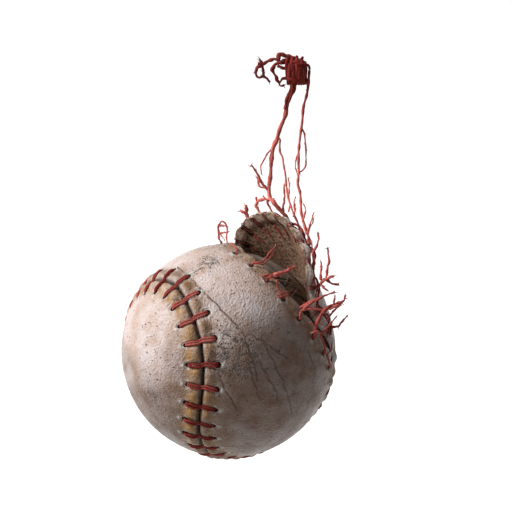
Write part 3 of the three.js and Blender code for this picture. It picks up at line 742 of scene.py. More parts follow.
def lumps(rest):
    """Unevenness of the leather, in three sizes."""
    out = np.empty(len(rest))
    for i, (x, y, z) in enumerate(rest.tolist()):
        out[i] = (
            0.17 * noise.noise((x * 0.085, y * 0.085, z * 0.085))
            + 0.07 * noise.noise((x * 0.31, y * 0.31, z * 0.31 + 7))
            + 0.045 * noise.noise((x * 0.95, y * 0.95, z * 0.95 + 3))
        )
    return out


def blotch(rest, scale, seed):
    return np.array([noise.noise((x * scale + seed, y * scale, z * scale)) for x, y, z in rest.tolist()])


MASKS = ("soil_and_shade", "stain", "dirt_and_shade", "pale_and_highlight", "pitted", "crack_side")


def marks(rest, k, inset, panel, outer):
    """Masks for the materials: brown soil with painted shade, ochre stain, nearly black dirt with the painted
    shade of holes and creases, worn pale leather with painted highlights.
    """
    loose, between = torn(k), between_holes(k)
    edge = inset - edge_inset(k)
    along, across = from_hole(k), inset - HOLE_INSET
    # Painted shade on the side turned down and to the right, away from the key lamp, and more towards the
    # bottom; blotches of real soil on top
    row = rest @ SEAM_FRAME.T / BALL_R
    down = row @ unit(np.array([0.62, -0.25, -0.62]))
    soil_and_shade = 1.4 * smooth((down + 0.28) / 0.88) + 0.95 * smooth((-row[:, 2] + 0.02) / 0.75)
    soil_and_shade += 0.4 * smooth((blotch(rest, 0.06, 4) - 0.05) / 0.4)
    # Stain beside the seam, wide at the tight turn
    stain = (1.35 if panel == REAR else 0.6 + 0.5 * loose) * bump(edge - 2.4, 3.6) * (1 - 0.2 * loose)
    stain *= 0.85 + 0.6 * blotch(rest, 0.13, 9)
    stain += bump(k - 40.5, 4.5) * 0.8 * bump(edge - 3, 5)
    # Dirt in the seam, and painted shade in the holes
    dirt_and_shade = (1 - 0.65 * loose) * bump(edge, 0.55) + 0.8 * bump(hole_distance(k, inset), 1.0)
    # Grime of the flap's rim, and of the front panel's pads, with painted brown shade beside the pads between
    # the stitches
    if panel == REAR:
        soil_and_shade += 1.2 * loose * bump(along, 1.5) * smooth((5.8 - inset) / 1.2)
        stain += 0.8 * loose * bump(edge - 3.4, 1.3)
        soil_and_shade += 0.7 * loose * smooth((blotch(rest, 0.5, 3) - 0.05) / 0.25) * smooth((6 - inset) / 2)
    else:
        dirt_and_shade += 0.25 * (1 - loose) * bump(edge - 2.9, 1.2) * between
        soil_and_shade += 1.1 * (1 - loose) * bump(edge - 3.2, 1.7) * between
        soil_and_shade += 0.5 * loose * bump(edge - 4.5, 2.5) * (1 + 1.5 * blotch(rest, 0.35, 6))
        soil_and_shade += 0.9 * loose * bump(edge - 1.2, 1.6) * (1 + blotch(rest, 0.5, 8))
        dirt_and_shade += 0.35 * loose * bump(edge - 3.2, 1.6) * between * (1 + blotch(rest, 0.4, 2))
    # Worn pale: the crest at each stitch, worn and with a painted highlight, the lips of the holes, the torn
    # rim
    crest = 0.5 if panel == FRONT else 0.3
    pale_and_highlight = crest * (1 - loose) * bump(edge - 0.95, 0.38) * (0.55 + 0.45 * np.cos(2 * np.pi * k))
    pale_and_highlight += bump(np.hypot(along, across - 1.8), 0.75) + 0.6 * bump(np.hypot(np.abs(along) - 1.5, across), 0.5)
    worn = 1.0 if panel == REAR else 0.4
    pale_and_highlight += worn * loose * 0.6 * bump(edge - 0.7, 0.7)
    pale_and_highlight += worn * loose * 0.9 * bump(edge - 1.9, 1.3) * (1 - np.abs(np.cos(np.pi * k))) ** 0.6
    pitted = sum(
        strength * bump(np.linalg.norm(rest - np.array(centre), axis=1), size)
        for centre, size, strength in PITTED
    )
    # The flesh side keeps its own dirt, painted shade in its holes and along its creases, and painted
    # highlight on the pads between the creases
    if not outer:
        dirt_and_shade = 0.25 * bump(edge, 0.8) + 2.6 * bump(hole_distance(k, inset, 1.25), 1.05)
        if panel == REAR:
            crease = from_crease(k) * SPACING * BALL_R
            dirt_and_shade += 0.9 * loose * bump(crease, 0.75) * smooth((5.6 - inset) / 1.2)
            pale_and_highlight = loose * bump(inset - 1.9, 1.9) * smooth((np.abs(crease) - 0.5) / 1.0)
            soil_and_shade = soil_and_shade + 0.9 * loose * bump(np.abs(crease) - 0.2, 1.0) * smooth((6.4 - inset) / 1.6)
    crack_side = np.full(len(rest), float(panel == FRONT and outer))
    masks = dict(zip(MASKS, (soil_and_shade, stain, dirt_and_shade, pale_and_highlight, pitted, crack_side)))
    return {"rest": rest, **{name: np.clip(value, 0, 1) for name, value in masks.items()}}


def spine_of(points, panel):
    """The nearest place on the great circle down the middle of a panel."""
    side = points[..., 1] if panel == FRONT else points[..., 0]
    up = points[..., 2] * (1 if panel == FRONT else -1)
    limit = math.pi - SEAM_SHAPE - SPINE_SHORT
    angle = np.clip(np.arctan2(side, up), -limit, limit)
    zero = np.zeros_like(angle)
    if panel == FRONT:
        return np.stack([zero, np.sin(angle), np.cos(angle)], -1)
    return np.stack([np.sin(angle), zero, -np.cos(angle)], -1)


def panel_grid(arc, k, panel):
    """Directions of the panel's points, and how far each lies from the middle of the seam."""
    near = EDGE_ROWS + edge_inset(k)[:, None] * (1 - EDGE_ROWS / EDGE_ROWS[-1])
    near_ways = beside(arc[:, None], panel * near / BALL_R)
    part = (np.arange(INNER_ROWS) + 1) / INNER_ROWS
    rim, spine = near_ways[:, -1:], spine_of(seam_at(arc), panel)[:, None]
    far_ways = unit(rim * (1 - part)[:, None] + spine * part[:, None])
    far = np.tile(EDGE_ROWS[-1] + part * INNER_REACH, (len(arc), 1))
    return np.hstack([near_ways, far_ways]), np.hstack([near, far])


def skin_heights(k, inset, rough, panel):
    """Heights of the grain side and of the flesh side over mid leather."""
    # The shapes beside the seam fade out between 9 and 12 mm from it
    fade = smooth((12 - inset) / 3)
    shape = relief(k, inset) * fade
    tops = LEATHER_T / 2 + shape + hole_relief(k, inset) * fade + rough
    floor = -LEATHER_T / 2 + 0.5 * np.maximum(shape, -0.6) + 0.4 * rough
    if panel == REAR:
        floor = floor + pleats(k, inset)
        floor = floor + 0.5 * torn(k) * np.exp(-((hole_distance(k, inset) / 0.9) ** 4))
        tops = tops + 0.35 * torn(k) * bump(inset - 2.6, 1.6) * between_holes(k) * fade
    return tops, floor


def sheet_faces(grid, whole):
    """Corners and material of the grain side, flesh side, cut edge and, where it stops, its ends."""
    columns, rows = grid.shape
    below = grid.size
    for i in range(columns if whole else columns - 1):
        n = (i + 1) % columns
        for j in range(rows - 1):
            a, b, c, d = grid[i, j], grid[n, j], grid[n, j + 1], grid[i, j + 1]
            yield (a, b, c, d), 0
            yield (a + below, d + below, c + below, b + below), 1
        a, b = grid[n, 0], grid[i, 0]
        yield (a, b, b + below, a + below), 2
    if not whole:
        for i, way in ((0, 1), (columns - 1, -1)):
            for j in range(rows - 1):
                a, b = grid[i, j], grid[i, j + 1]
                yield (a, b, b + below, a + below)[::way], 1


def leather(name, panel, first, last, body, slot, *nodes):
    """One panel, or the columns of it from first to last, as a closed sheet with its punched holes."""
    whole = last - first == COLUMNS
    arc = np.arange(first, last + (0 if whole else 1)) * SEAM_LENGTH / COLUMNS
    k = stitch_number(arc)
    k = np.where(k > LAST_STITCH + 0.5, k - STITCHES, k)
    ways, inset = panel_grid(arc, k, panel)
    arcs, ks = (np.repeat(values[:, None], inset.shape[1], 1) for values in (arc, k))
    rest = (ways * BALL_R).reshape(-1, 3)
    layers = []
    for height in skin_heights(ks, inset, lumps(rest).reshape(ks.shape), panel):
        placed = ways * (MID_R + height)[..., None]
        if panel == REAR:
            curled = cupped(arcs, inset / BALL_R, height, rim_curl(ks))
            # Only the rows near the torn edge are cupped
            bent = np.abs(ks) < TORN_TO
            bent[:, len(EDGE_ROWS):] = False
            placed = peeled(np.where(bent[..., None], curled, placed))
        layers.append(to_row(placed).reshape(-1, 3))

    # The last row's points meet in pairs on the spine
    grid = np.arange(inset.size).reshape(inset.shape)
    meeting = np.round(layers[0][grid[:, -1]], 3)
    _, back, same = np.unique(meeting, axis=0, return_index=True, return_inverse=True)
    grid[:, -1] = grid[back, -1][same.ravel()]
    faces, kinds = [], []
    for corners, kind in sheet_faces(grid, whole):
        kept = [c for i, c in enumerate(corners) if c != corners[i - 1]]
        if len(set(kept)) > 2:
            faces.append(kept)
            kinds.append(kind)

    cups = eyelets(panel, k.min() - 1e-6, k.max() + 1e-6, whole)
    points = np.vstack([*layers, cups["points"]])
    faces += [[2 * inset.size + c for c in ring] for ring in cups["faces"]]
    kinds += [0] * len(cups["faces"])
    used = np.zeros(len(points), bool)
    used[[c for f in faces for c in f]] = True
    number = np.cumsum(used) - 1
    way = 1 if panel == REAR else -1
    faces = [tuple(int(number[c]) for c in f[::way]) for f in faces]
    grain, flesh = (marks(rest, ks.ravel(), inset.ravel(), panel, outer) for outer in (True, False))
    masks = {key: np.concatenate([grain[key], flesh[key], cups[key]])[used] for key in grain}
    materials = [LEATHER, FLESH, EDGE]
    return new_object(name, points[used], faces, materials, body, nodes, masks, kinds)


# Lip, wall and floor of a hole: distance from its middle, height over the leather
CUP_SIDES = 14
CUP_PROFILE = [(0.001, -0.98), (0.7, -0.95), (0.76, -0.3), (0.86, 0.0), (1.05, 0.12), (1.35, 0.05),
               (1.7, -0.22), (1.5, -0.8), (0.8, -1.25), (0.001, -1.3)]


def eyelets(panel, low, high, whole):
    """Lip and wall of each punched hole, as small closed rings with a floor."""
    out = {name: [] for name in ("points", "faces", "rest", *MASKS)}
    base = 0
    for number in range(STITCHES):
        k = number if number <= LAST_STITCH else number - STITCHES
        if not whole and not low <= k <= high and not low <= k + STITCHES <= high:
            continue
        arc = float(stitch_arc(k))
        angle = np.linspace(0, 2 * np.pi, CUP_SIDES, endpoint=False) + 0.1 * k
        reach, lift = np.array(CUP_PROFILE).T[..., None]
        stretch = 1.2 + 0.12 * math.sin(3.1 * k)
        arcs = arc + reach * np.cos(angle) / BALL_R
        inset = HOLE_INSET + reach * stretch * np.sin(angle)
        ks = stitch_number(arcs)
        rest = (beside(arcs, panel * inset / BALL_R) * BALL_R).reshape(-1, 3)
        lift = np.where(lift < 0, lift * (1 - 0.45 * torn(k)), lift)
        height = LEATHER_T / 2 + relief(ks, inset) + lift + lumps(rest).reshape(ks.shape)
        points = place(arcs, inset, height, panel).reshape(-1, 3)
        masks = marks(rest, ks.ravel(), inset.ravel(), panel, True)
        inside = np.repeat(reach.ravel() < 0.9, CUP_SIDES)
        # Nearly black inside the hole's cup: painted shade; a little dirt round its lip
        masks["dirt_and_shade"] = np.where(inside, 1.0, 0.15)
        masks["pale_and_highlight"] = np.where(inside, 0.0, np.maximum(masks["pale_and_highlight"], 0.7))
        out["points"].append(points)
        for name, value in masks.items():
            out[name].append(value)
        for i in range(len(CUP_PROFILE) - 1):
            for j in range(CUP_SIDES):
                n = (j + 1) % CUP_SIDES
                a, b = base + i * CUP_SIDES, base + (i + 1) * CUP_SIDES
                out["faces"].append((a + j, b + j, b + n, a + n))
        out["faces"].append(tuple(base + j for j in range(CUP_SIDES)))
        base += len(CUP_PROFILE) * CUP_SIDES
        out["faces"].append(tuple(base - 1 - j for j in range(CUP_SIDES)))
    return {name: value if name == "faces" else np.concatenate(value) for name, value in out.items()}


QUARTER = COLUMNS // 4
leather("cover_front", FRONT, 0, COLUMNS, "ball", "leather", "cover_panel_front")
leather("cover_rear", REAR, QUARTER, 3 * QUARTER, "ball", "leather", "cover_panel_rear")
cover_fold = leather(
    "cover_fold", REAR, -QUARTER, QUARTER, None, "leather_flesh", "cover_flap", "cover_panel_rear"
)
# The leather bends along a short way across the fold at the flap's root
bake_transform(cover_fold)


# Lacing that still holds: two threads side by side in each stitch

# One half of a stitch: distance from the seam, height over mid leather
HALF_STITCH = [(0.5, 0.5), (1.5, 0.86), (3, 1.0), (4.3, 0.95), (4.95, 0.55), (5.2, -0.2), (5.35, -1.1)]
STITCH_PROFILE = [(-x, z) for x, z in reversed(HALF_STITCH)] + HALF_STITCH
stitches = Threads()
for number in range(FIRST_STITCH, LAST_STITCH + 1):
    lean, sag = rng.uniform(-0.25, 0.25), rng.uniform(-0.08, 0.08)
    # The stitches get the thread's dark tones: painted shade
    tone = rng.uniform(0.0, 0.45)
    for hand in (-1, 1):
        profile = np.array(STITCH_PROFILE)
        across, height = profile[:, 0], profile[:, 1] + sag + rng.uniform(-0.05, 0.05)
        apart = 0.47 * (1 - 0.5 * (np.abs(across) / 5.35) ** 5) * (1 - 0.25 * bump(across, 0.8))
        kink = 0.3 * np.sign(across) * bump(np.abs(across) - 1.2, 1.4)
        along = hand * apart + lean * across / 5 + kink
        arcs = stitch_arc(number) + along / BALL_R
        route = to_row(beside(arcs, across / BALL_R) * (MID_R + height)[:, None])
        stitches.add(spline(route, THREAD_STEP), 0.34, plies=2, pitch=2.6, sides=9, tone=tone)
stitches.build("lacing_stitches", THREAD, "ball", "red_thread", "lacing")


# Wound yarn
YARN_AXIS = unit(np.array([0.842, 0.433, -0.323]))


def loops(axis, radius, pitch, from_tilt, to_tilt, steps, wander):
    """A yarn wound about an axis, from one tilt out of the middle plane to the other."""
    axis = unit(np.asarray(axis, float))
    across = unit(np.cross([0.1, 0.2, 1.0], axis))
    third = np.cross(axis, across)
    turns = (to_tilt - from_tilt) * radius / pitch
    n = max(8, int(turns * steps))
    part = np.linspace(0, 1, n)
    turn, tilt = 2 * np.pi * turns * part, from_tilt + (to_tilt - from_tilt) * part
    seed = rng.uniform(0, 50)
    shift = np.array([noise.noise(Vector((seed + t / 2.2, 0.3 * math.sin(t), 0))) for t in turn])
    tilt = np.clip(tilt + wander * shift / radius * 8, -1.55, 1.55)
    way = (
        across * (np.cos(tilt) * np.cos(turn))[:, None]
        + third * (np.cos(tilt) * np.sin(turn))[:, None]
        + axis * np.sin(tilt)[:, None]
    )
    return to_row(way * (radius + 0.12 * shift)[:, None])


def wound(name, node, material, slot, radius, size, pitch, steps, sides, bands=()):
    """A layer of yarn: one run from pole to pole, and over it bands of crossing loops."""
    made = Threads()
    layer = loops(YARN_AXIS, radius, pitch, -1.5, 1.5, steps, 0.05)
    made.add(layer, size, plies=2, pitch=5, sides=sides, uneven=0.06, tone=0.45)
    for axis, lift, start, count in bands:
        for i in range(count):
            tilt = start + i * pitch * 0.92 / radius
            height = radius + lift + rng.uniform(-0.05, 0.1)
            circle = loops(axis, height, pitch, tilt, tilt + pitch / radius, steps, 0.12)
            thick, tone = size * rng.uniform(0.85, 1.1), rng.random()
            made.add(circle, thick, plies=2, pitch=5, sides=sides, uneven=0.1, tone=tone)
    made.build(name, material, "ball", slot, node)


# Axis of the loops, height over the run below, tilt of the first loop, number of loops
BANDS = [((0.80, 0.52, -0.30), 0.75, 0.18, 7), ((0.88, 0.30, -0.36), 0.72, 0.34, 8),
         ((0.70, 0.60, -0.39), 0.7, 0.5, 7), ((0.2, 0.9, 0.3), 0.72, -0.1, 7),
         ((0.5, -0.7, 0.5), 0.7, 0.2, 6), ((0.95, 0.1, 0.28), 0.75, -0.2, 6), ((-0.3, 0.5, 0.8), 0.7, 0.1, 5)]
wound("yarn_outer", "outer_yarn", YARN, "grey_wool", radius=33.05, size=0.46, pitch=0.95, steps=64,
      sides=6, bands=BANDS)
for name, node, material, slot, outer, size in (
    ("wound_last_grey", "winding_grey_last", YARN, "grey_wool", 31.7, 0.9),
    ("wound_white", "winding_white", WHITE_YARN, "white_wool", 29.8, 0.95),
    ("wound_first_grey", "winding_grey_first", YARN, "grey_wool", 27.7, 1.3),
):
    wound(name, node, material, slot, radius=outer - size, size=size, pitch=2 * size, steps=36, sides=5)

# The pill keeps its solids
BLACK_RUBBER = rubber_material("black_rubber", (0.012, 0.012, 0.012), (0.04, 0.04, 0.042))
RED_RUBBER = rubber_material("red_rubber", (0.30, 0.05, 0.04), (0.42, 0.09, 0.07))
for material, solids in (
    (cork_material(), ["cork_core"]),
    (BLACK_RUBBER, ["rubber_inner_upper", "rubber_inner_lower"]),
    (RED_RUBBER, ["rubber_outer_upper", "rubber_outer_lower", "rubber_gasket"]),
):
    for name in solids:
        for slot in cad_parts[name].material_slots:
            slot.material = material


# Loose ends of the torn lacing
def unruly(path, amount=0.22, rate=0.7):
    """The path with the small kinks of a thread that was sewn, kept at its first point."""
    seed = rng.uniform(0, 60)
    run = np.arange(len(path)) * THREAD_STEP
    kink = np.array([
        noise.noise_vector(Vector((seed, x * rate, 3))) + noise.noise_vector(Vector((x * 0.25, seed, 9)))
        for x in run
    ])
    return path + kink * amount * smooth(run / 2.5)[:, None]


def hang(name, body, radius, *branches, nodes=(), base=(), fray=2, tone=None, lift=0.0):
    """A loose thread: its first branch starts at the base, thinner ones have a start of their own."""
    made = Threads()
    for i, branch in enumerate(branches):
        route = [*base, *branch] if i == 0 else branch
        thick = radius if i == 0 else radius * rng.uniform(0.6, 0.85)
        shade = min(1.0, (rng.uniform(0.25, 0.8) if tone is None else tone) + lift)
        kinked = unruly(spline(route, THREAD_STEP))
        path = made.add(kinked, thick, plies=3, pitch=6, sides=9, uneven=0.3, taper=0.3, tone=shade)
        made.fray(path, thick, count=fray, length=1.8)
        made.fuzz(path, thick, count=7)
    made.build(name, THREAD, body, "red_thread", *nodes)


def front_end(node, k, radius, *branches, **looks):
    """A loose end that comes up out of a hole of the front panel."""
    base = [front_hole(k, BALL_R - 1.0), front_hole(k, BALL_R + 0.5)]
    hang(node + "_fibres", "ball", radius, *branches, nodes=[node], base=base, **looks)


def rim_tuft(node, k, radius, *branches, **looks):
    """A loose end that comes out through a hole of the flap's rim."""
    base = rim_hole(k, 0.9)[::-1]
    hang(node + "_fibres", "flap", radius, *branches, nodes=[node], base=base, **looks)


front_end("thread_ladder", 2, 0.36,
     [(-12.1, 6, -62.8), (-12.9, 5.4, -60.5), (-13.4, 5, -58.1), (-12.4, 4.4, -56.3), (-10.9, 3.8, -56.9),
      (-10.2, 3.2, -58.3), (-9.6, 1.8, -61.3), (-9.0, 0.6, -62.7)],
     [(-12.7, 5.3, -60.9), (-11.1, 4.2, -60.1), (-9.2, 2.8, -59.0)],
     [(-12.6, 5.2, -60.6), (-11.4, 4.2, -61.4), (-10.1, 2.9, -62.3)],
     [(-13.2, 4.9, -58.3), (-12.2, 4.6, -57.8), (-10.6, 3.6, -57.4)], fray=1)
front_end("thread_top_short", 0, 0.3,
     [(-5.9, -5.8, -62.2), (-6.8, -3.9, -62.0), (-8, -1.6, -62.4)])
front_end("thread_arc", -1, 0.33,
     [(2.2, -15.1, -63.6), (3.4, -15, -63.2), (4.8, -13.2, -61.8), (5.7, -11.4, -60.3), (7.4, -8, -58.2)],
     [(1.1, -15.3, -63.9), (4.2, -15.3, -63.5), (6.0, -13.4, -61.9), (7.0, -11.2, -60.2)])
front_end("thread_cross_thick", -2, 0.66,
     [(9.0, -18.9, -65.6), (10.6, -18.4, -64.8), (13, -16.6, -63.4), (15.2, -14.8, -61.8)],
     [(5.1, -20.0, -66.6), (7.6, -19.6, -65.7), (10.6, -18.1, -64.6), (13.4, -15.9, -62.9)],
     [(6.5, -20.2, -67.0), (8.4, -19.6, -66.1), (10.5, -18.6, -65.2)], fray=3)
front_end("thread_cross_thin", -3, 0.3,
     [(12.6, -21.4, -70.4), (11.0, -20.9, -68.6), (10.2, -20.2, -66.6)],
     [(11.2, -22.2, -71.4), (12.6, -21.8, -70.4), (14.7, -20.8, -69.4)],
     [(12.0, -22.0, -71.8), (13.8, -21.6, -70.8), (15.2, -20.6, -70.0)])
front_end("thread_long_upper", -4, 0.45,
     [(20.6, -22.5, -74.6), (22.4, -22, -72), (24.8, -21, -69.6), (26.6, -20, -68.4), (30, -18, -66.4)],
     [(19.9, -21.9, -73.6), (23.3, -21.2, -70.4), (25.4, -20.4, -69.2)])
front_end("thread_long_lower", -5, 0.6,
     [(26.6, -22.1, -78.4), (27, -22.2, -75), (28.6, -21, -72), (31.2, -19.6, -70), (33.3, -18.6, -68.8),
      (33.9, -18, -66.6)],
     [(29.5, -20.8, -76.2), (30.9, -19.8, -72.9), (33.1, -18.2, -70.1)],
     [(21.0, -22.4, -74.1), (23.7, -21.9, -72.9), (27.4, -21.4, -72.6)], fray=3)
front_end("thread_low", -6, 0.42,
     [(31.2, -18.6, -86), (30.4, -19.4, -84), (28.6, -21.4, -81), (30.6, -20, -79)],
     [(23.9, -23.3, -77.6), (25.7, -22.9, -77.9), (27.5, -21.9, -77.3), (29.1, -20.9, -77.9)],
     [(25.4, -23.3, -80.9), (27.2, -22.7, -79.9), (29.8, -21.0, -80.8)],
     [(29.4, -20.6, -80.4), (31.0, -19.6, -77.2), (32.6, -18.9, -74.2)])
front_end("thread_zigzag", -7, 0.33,
     [(34.5, -15.2, -91.8), (33.8, -17.4, -90.2), (32.6, -18.4, -88), (33.6, -17, -86), (33.2, -17.4, -83.8)])

rim_tuft("tuft_top_left", 3, 0.8,
     [(-5.0, 18.9, -54.6), (-5.4, 18.8, -53.4), (-6, 18, -51.4)],
     [(-5.2, 18.8, -54.2), (-6.4, 18.6, -54.0), (-7.6, 18.8, -53.8)], lift=0.3)
rim_tuft("tuft_top_middle", 2, 0.55,
     [(-2.2, 14.6, -50.4), (-2.4, 14.6, -49.2), (-3.2, 14, -47)],
     [(-2.3, 14.5, -49.6), (-1.8, 12.6, -48.0), (0.4, 9.4, -46.2), (3.4, 6.0, -45.2)], lift=0.25)
rim_tuft("tuft_top_right", 1, 0.42,
     [(1.3, 9.6, -47.6), (1.4, 9.4, -46.4), (3, 7.4, -45)],
     [(1.4, 9.3, -46.8), (0.2, 9.6, -46.0), (-0.8, 10.0, -45.6)])
rim_tuft("tuft_side_upper", -3, 0.4,
     [(20.0, -12.6, -56.4), (20.4, -12.4, -54.6), (20.6, -11.6, -51.6), (19.8, -11, -49.4)],
     [(17.6, -10.4, -54.2), (17.0, -9.4, -50.9), (17.4, -8.4, -47.6), (17.6, -8.0, -45.4)],
     [(19.8, -12.4, -55.8), (18.8, -12.2, -53.8), (18.2, -11.6, -52.4)])
rim_tuft("tuft_side_middle", -4, 0.58,
     [(25.4, -15.0, -64.4), (26, -14.8, -63.6), (28.5, -15.2, -64.6), (30.9, -15, -64.4)],
     [(26.2, -14.9, -63.8), (26, -14.4, -60.4), (25.6, -13.4, -57.2), (24.4, -12.6, -53.4)],
     [(24.6, -14.8, -64.4), (24.0, -14.4, -61.4), (23.4, -13.4, -58.6)],
     [(25.2, -15.2, -64.6), (26.9, -15.4, -62.9), (28.4, -15.4, -61.8)],
     [(24.8, -15.0, -65.4), (26.3, -15.6, -66.6), (27.6, -15.4, -67.2)], fray=3)
rim_tuft("tuft_side_lower", -5, 0.5,
     [(30.4, -14.8, -72.8), (31.6, -14.8, -71.8), (33.6, -15.4, -69.6)],
     [(30.6, -14.8, -72.8), (30.8, -13.8, -70.4), (30.6, -13.2, -68.6)])
rim_tuft("tuft_root", -6, 0.4,
     [(34.2, -11.6, -79.2), (35, -11.8, -77.4), (36.2, -13.2, -74.4)])

# Short branches of the strands
hang("strand_left_fork", "flap", 0.48,
     [(0.5, 1, -41.8), (-0.6, 0.8, -40.8), (-2.2, 0.5, -39.7), (-4.6, 0, -36.6), (-7.1, -1, -34)],
     [(-0.5, 1.0, -41.0), (-2.6, 1.8, -40.9), (-4.3, 2.2, -38.3)], lift=0.35)
hang("strand_left_stray", "flap", 0.3,
     [(-1.3, 0.6, -26.7), (-2.8, 0.2, -29.1), (-3.4, 0, -31.7), (-3.9, -0.3, -33.9), (-3, -0.5, -36.3)])
hang("strand_right_loop", "flap", 0.3,
     [(6.3, -1.8, -17.6), (7.5, -2, -19), (9.2, -2.6, -23), (10.2, -3.4, -27.2), (10.7, -3.8, -30.1),
      (9.1, -4.2, -32.2)],
     [(7.4, -3.0, -25.5), (7.1, -3.2, -28.0), (7.5, -3.6, -30.9), (9.0, -4.4, -33.6)],
     [(10.2, -4.6, -42.7), (10.7, -5.0, -45.0), (11.3, -5.6, -47.2)], fray=1)

hang("rim_strays", "flap", 0.4,
     [(7.2, 1.0, -47.6), (6.6, 0.5, -45.5), (6.3, 0.0, -42.6), (5.6, -0.5, -39.9), (5.5, -1.0, -37.0)],
     [(10.7, -5.0, -47.4), (10.7, -5.5, -44.8), (9.9, -5.5, -42.5), (9.8, -6.0, -40.4)],
     [(14.0, -8.5, -47.7), (14.2, -8.5, -45.2), (14.0, -8.5, -43.1), (13.0, -8.0, -41.4)],
     [(16.4, -10.5, -50.6), (16.6, -11.0, -47.7), (16.8, -11.0, -45.5), (17.0, -11.5, -42.9)],
     [(8.8, -3.0, -46.4), (8.7, -3.0, -43.6), (7.7, -3.3, -41.0), (7.0, -3.5, -37.6), (5.8, -3.2, -35.1)],
     fray=1, tone=0.9)


# Thread that is left on the rim of the flap and on its flesh side
def lining(k, reach, shift):
    """A thin thread that hangs on the flesh side from a hole, away from the rim."""
    steps = 9
    inset = np.linspace(HOLE_INSET + 0.9, HOLE_INSET + 0.9 + reach, steps)
    sway = np.array([rng.gauss(0, 0.28) for _ in range(steps)]) + shift * np.linspace(0.3, 1, steps)
    return place(stitch_arc(k) + sway / BALL_R, inset, -LEATHER_T / 2 - 0.2 + np.zeros(steps), REAR)


# From a hole over the cut edge and back along the outside: inset and height
RIM_WAY = [(5.05, -0.5), (4.3, -0.7), (3.2, -0.8), (2.1, -0.8), (1.3, -0.65), (0.75, -0.35), (0.6, 0.05),
           (0.95, 0.5), (1.8, 0.65), (3.2, 0.55), (4.6, 0.4)]
rim_threads = Threads()
for k in range(-6, 5):
    inset, height = np.array(RIM_WAY).T
    for side in (-0.55, 0.5):
        if k > 2 and side > 0:
            continue
        swing = side * (0.5 + 0.5 * smooth((4.6 - inset) / 3)) + np.array([rng.gauss(0, 0.07) for _ in inset])
        path = spline(place(stitch_arc(k) + swing / BALL_R, inset, height, REAR), 0.3)
        rim_threads.add(path, 0.16, plies=2, pitch=1.4, sides=6, uneven=0.25, tone=0.35)
    for shift in (0.5, -0.4)[: 2 if -3 < k < 4 else 1]:
        path = spline(lining(k, rng.uniform(2.5, 6.5), shift), 0.35)
        rim_threads.add(path, 0.16, plies=2, pitch=1.4, sides=6, uneven=0.4, taper=0.4, tone=0.5)
# Wavy threads along the outside of the rim's holes, given a dark tone as painted shade
for lift, seed in ((1.0, 0.0), (1.5, 2.1), (1.2, 4.4)):
    ks = np.linspace(-6.2, -0.4, 40)
    inset = HOLE_INSET - 0.4 + 1.1 * np.sin(ks * 3.1 + seed) + 0.6 * np.sin(ks * 7.7 + 2 * seed)
    height = LEATHER_T / 2 + lift * (0.55 + 0.45 * np.sin(ks * 4.3 + 3 * seed)) + 0.25
    path = unruly(spline(place(stitch_arc(ks), inset, height, REAR), 0.35))
    path = rim_threads.add(path, 0.3, plies=3, pitch=6, sides=8, uneven=0.3, tone=0.1)
    rim_threads.fray(path, 0.3, count=2, length=2.0)
    rim_threads.fuzz(path, 0.4, count=26)
rim_threads.build("flap_rim_threads", THREAD, "flap", "red_thread")

# Knot and tangle
KNOT_WRAPS = 8
KNOT_MIDDLE, KNOT_HALF = 0.3, 3.8
knot = Threads()


def wrap(middle, wide, high, lean, start, turn, radius, tone):
    """One thread that goes round the knot, up the front and down the back."""
    angle = np.radians(np.linspace(start, start + turn, 15))
    x = middle[0] + wide * 0.25 * np.sin(angle * 0.5) + lean * np.cos(angle) * high
    y = middle[1] - wide * np.sin(angle)
    z = middle[2] + high * np.cos(angle)
    path = unruly(spline(np.stack([x, y, z], -1), THREAD_STEP), 0.3, 0.2)
    path = knot.add(path, radius, plies=2, pitch=40, sides=12, uneven=0.06, tone=tone)
    knot.fray(path, radius * 0.5, count=1, length=1.2)


for number in range(KNOT_WRAPS):
    x = -2.7 + 0.83 * number
    full = math.sqrt(1 - ((x - KNOT_MIDDLE) / KNOT_HALF) ** 2)
    middle = (x, 0, 0.5 + 0.35 * math.sin(4.1 * x))
    start, turn = rng.uniform(150, 200), rng.uniform(330, 350)
    radius, tone = rng.uniform(0.6, 0.75), rng.uniform(0, 0.5)
    wrap(middle, 1.0 + 0.95 * full, 1.9 + 2.0 * full, -0.24, start, turn, radius, tone)
for middle, wide, lean, start in (((0.0, 0, 0.2), 1.1, -0.2, 20), ((1.4, 0, 0.4), 1.0, -0.3, 60)):
    wrap(middle, wide, 3.2, lean, start, turn=340, radius=0.9, tone=rng.uniform(0, 0.2))
# The thread that lies across the wraps, and the ends that run into the knot
for radius, route in (
    (0.45, [(-2.6, -0.6, 2.9), (-1.2, -1.9, 3.3), (0.6, -2.3, 3.0), (2.4, -1.8, 3.4), (3.8, -0.6, 3.3),
            (4.4, 0.5, 2.2)]),
    (0.5, [(-2.4, -0.8, -2.2), (-1.2, -2.0, -2.4), (0.4, -2.2, -2.6), (1.6, -1.6, -2.2), (2.4, -0.4, -1.6)]),
    (0.5, [(0.2, -0.4, 3.4), (0.9, -0.4, 4.6), (1.3, 0, 5.7)]),
    (0.5, [(-0.9, 0, 3.6), (-1.0, 0, 4.6), (-0.5, 0, 5.5)]),
    (0.8, [(-1.6, 0, -1.8), (-1.5, -0.2, -3.2), (-1.1, 0, -4.6)]),
    (0.85, [(0.9, 0, -2.0), (0.8, 0, -3.3), (0.4, 0, -4.8)]),
    (0.7, [(2.2, 0, -1.2), (1.5, 0, -2.8), (0.8, 0.2, -4.2)]),
):
    path = unruly(spline(route, THREAD_STEP), 0.3, 0.2)
    path = knot.add(path, radius, plies=4, pitch=24, sides=12, uneven=0.1, tone=rng.uniform(0, 0.2))
    knot.fray(path, radius * 0.6, count=2, length=1.2)
knot.build("knot_bundle_threads", THREAD, "knot", "red_thread", "knot_bundle")

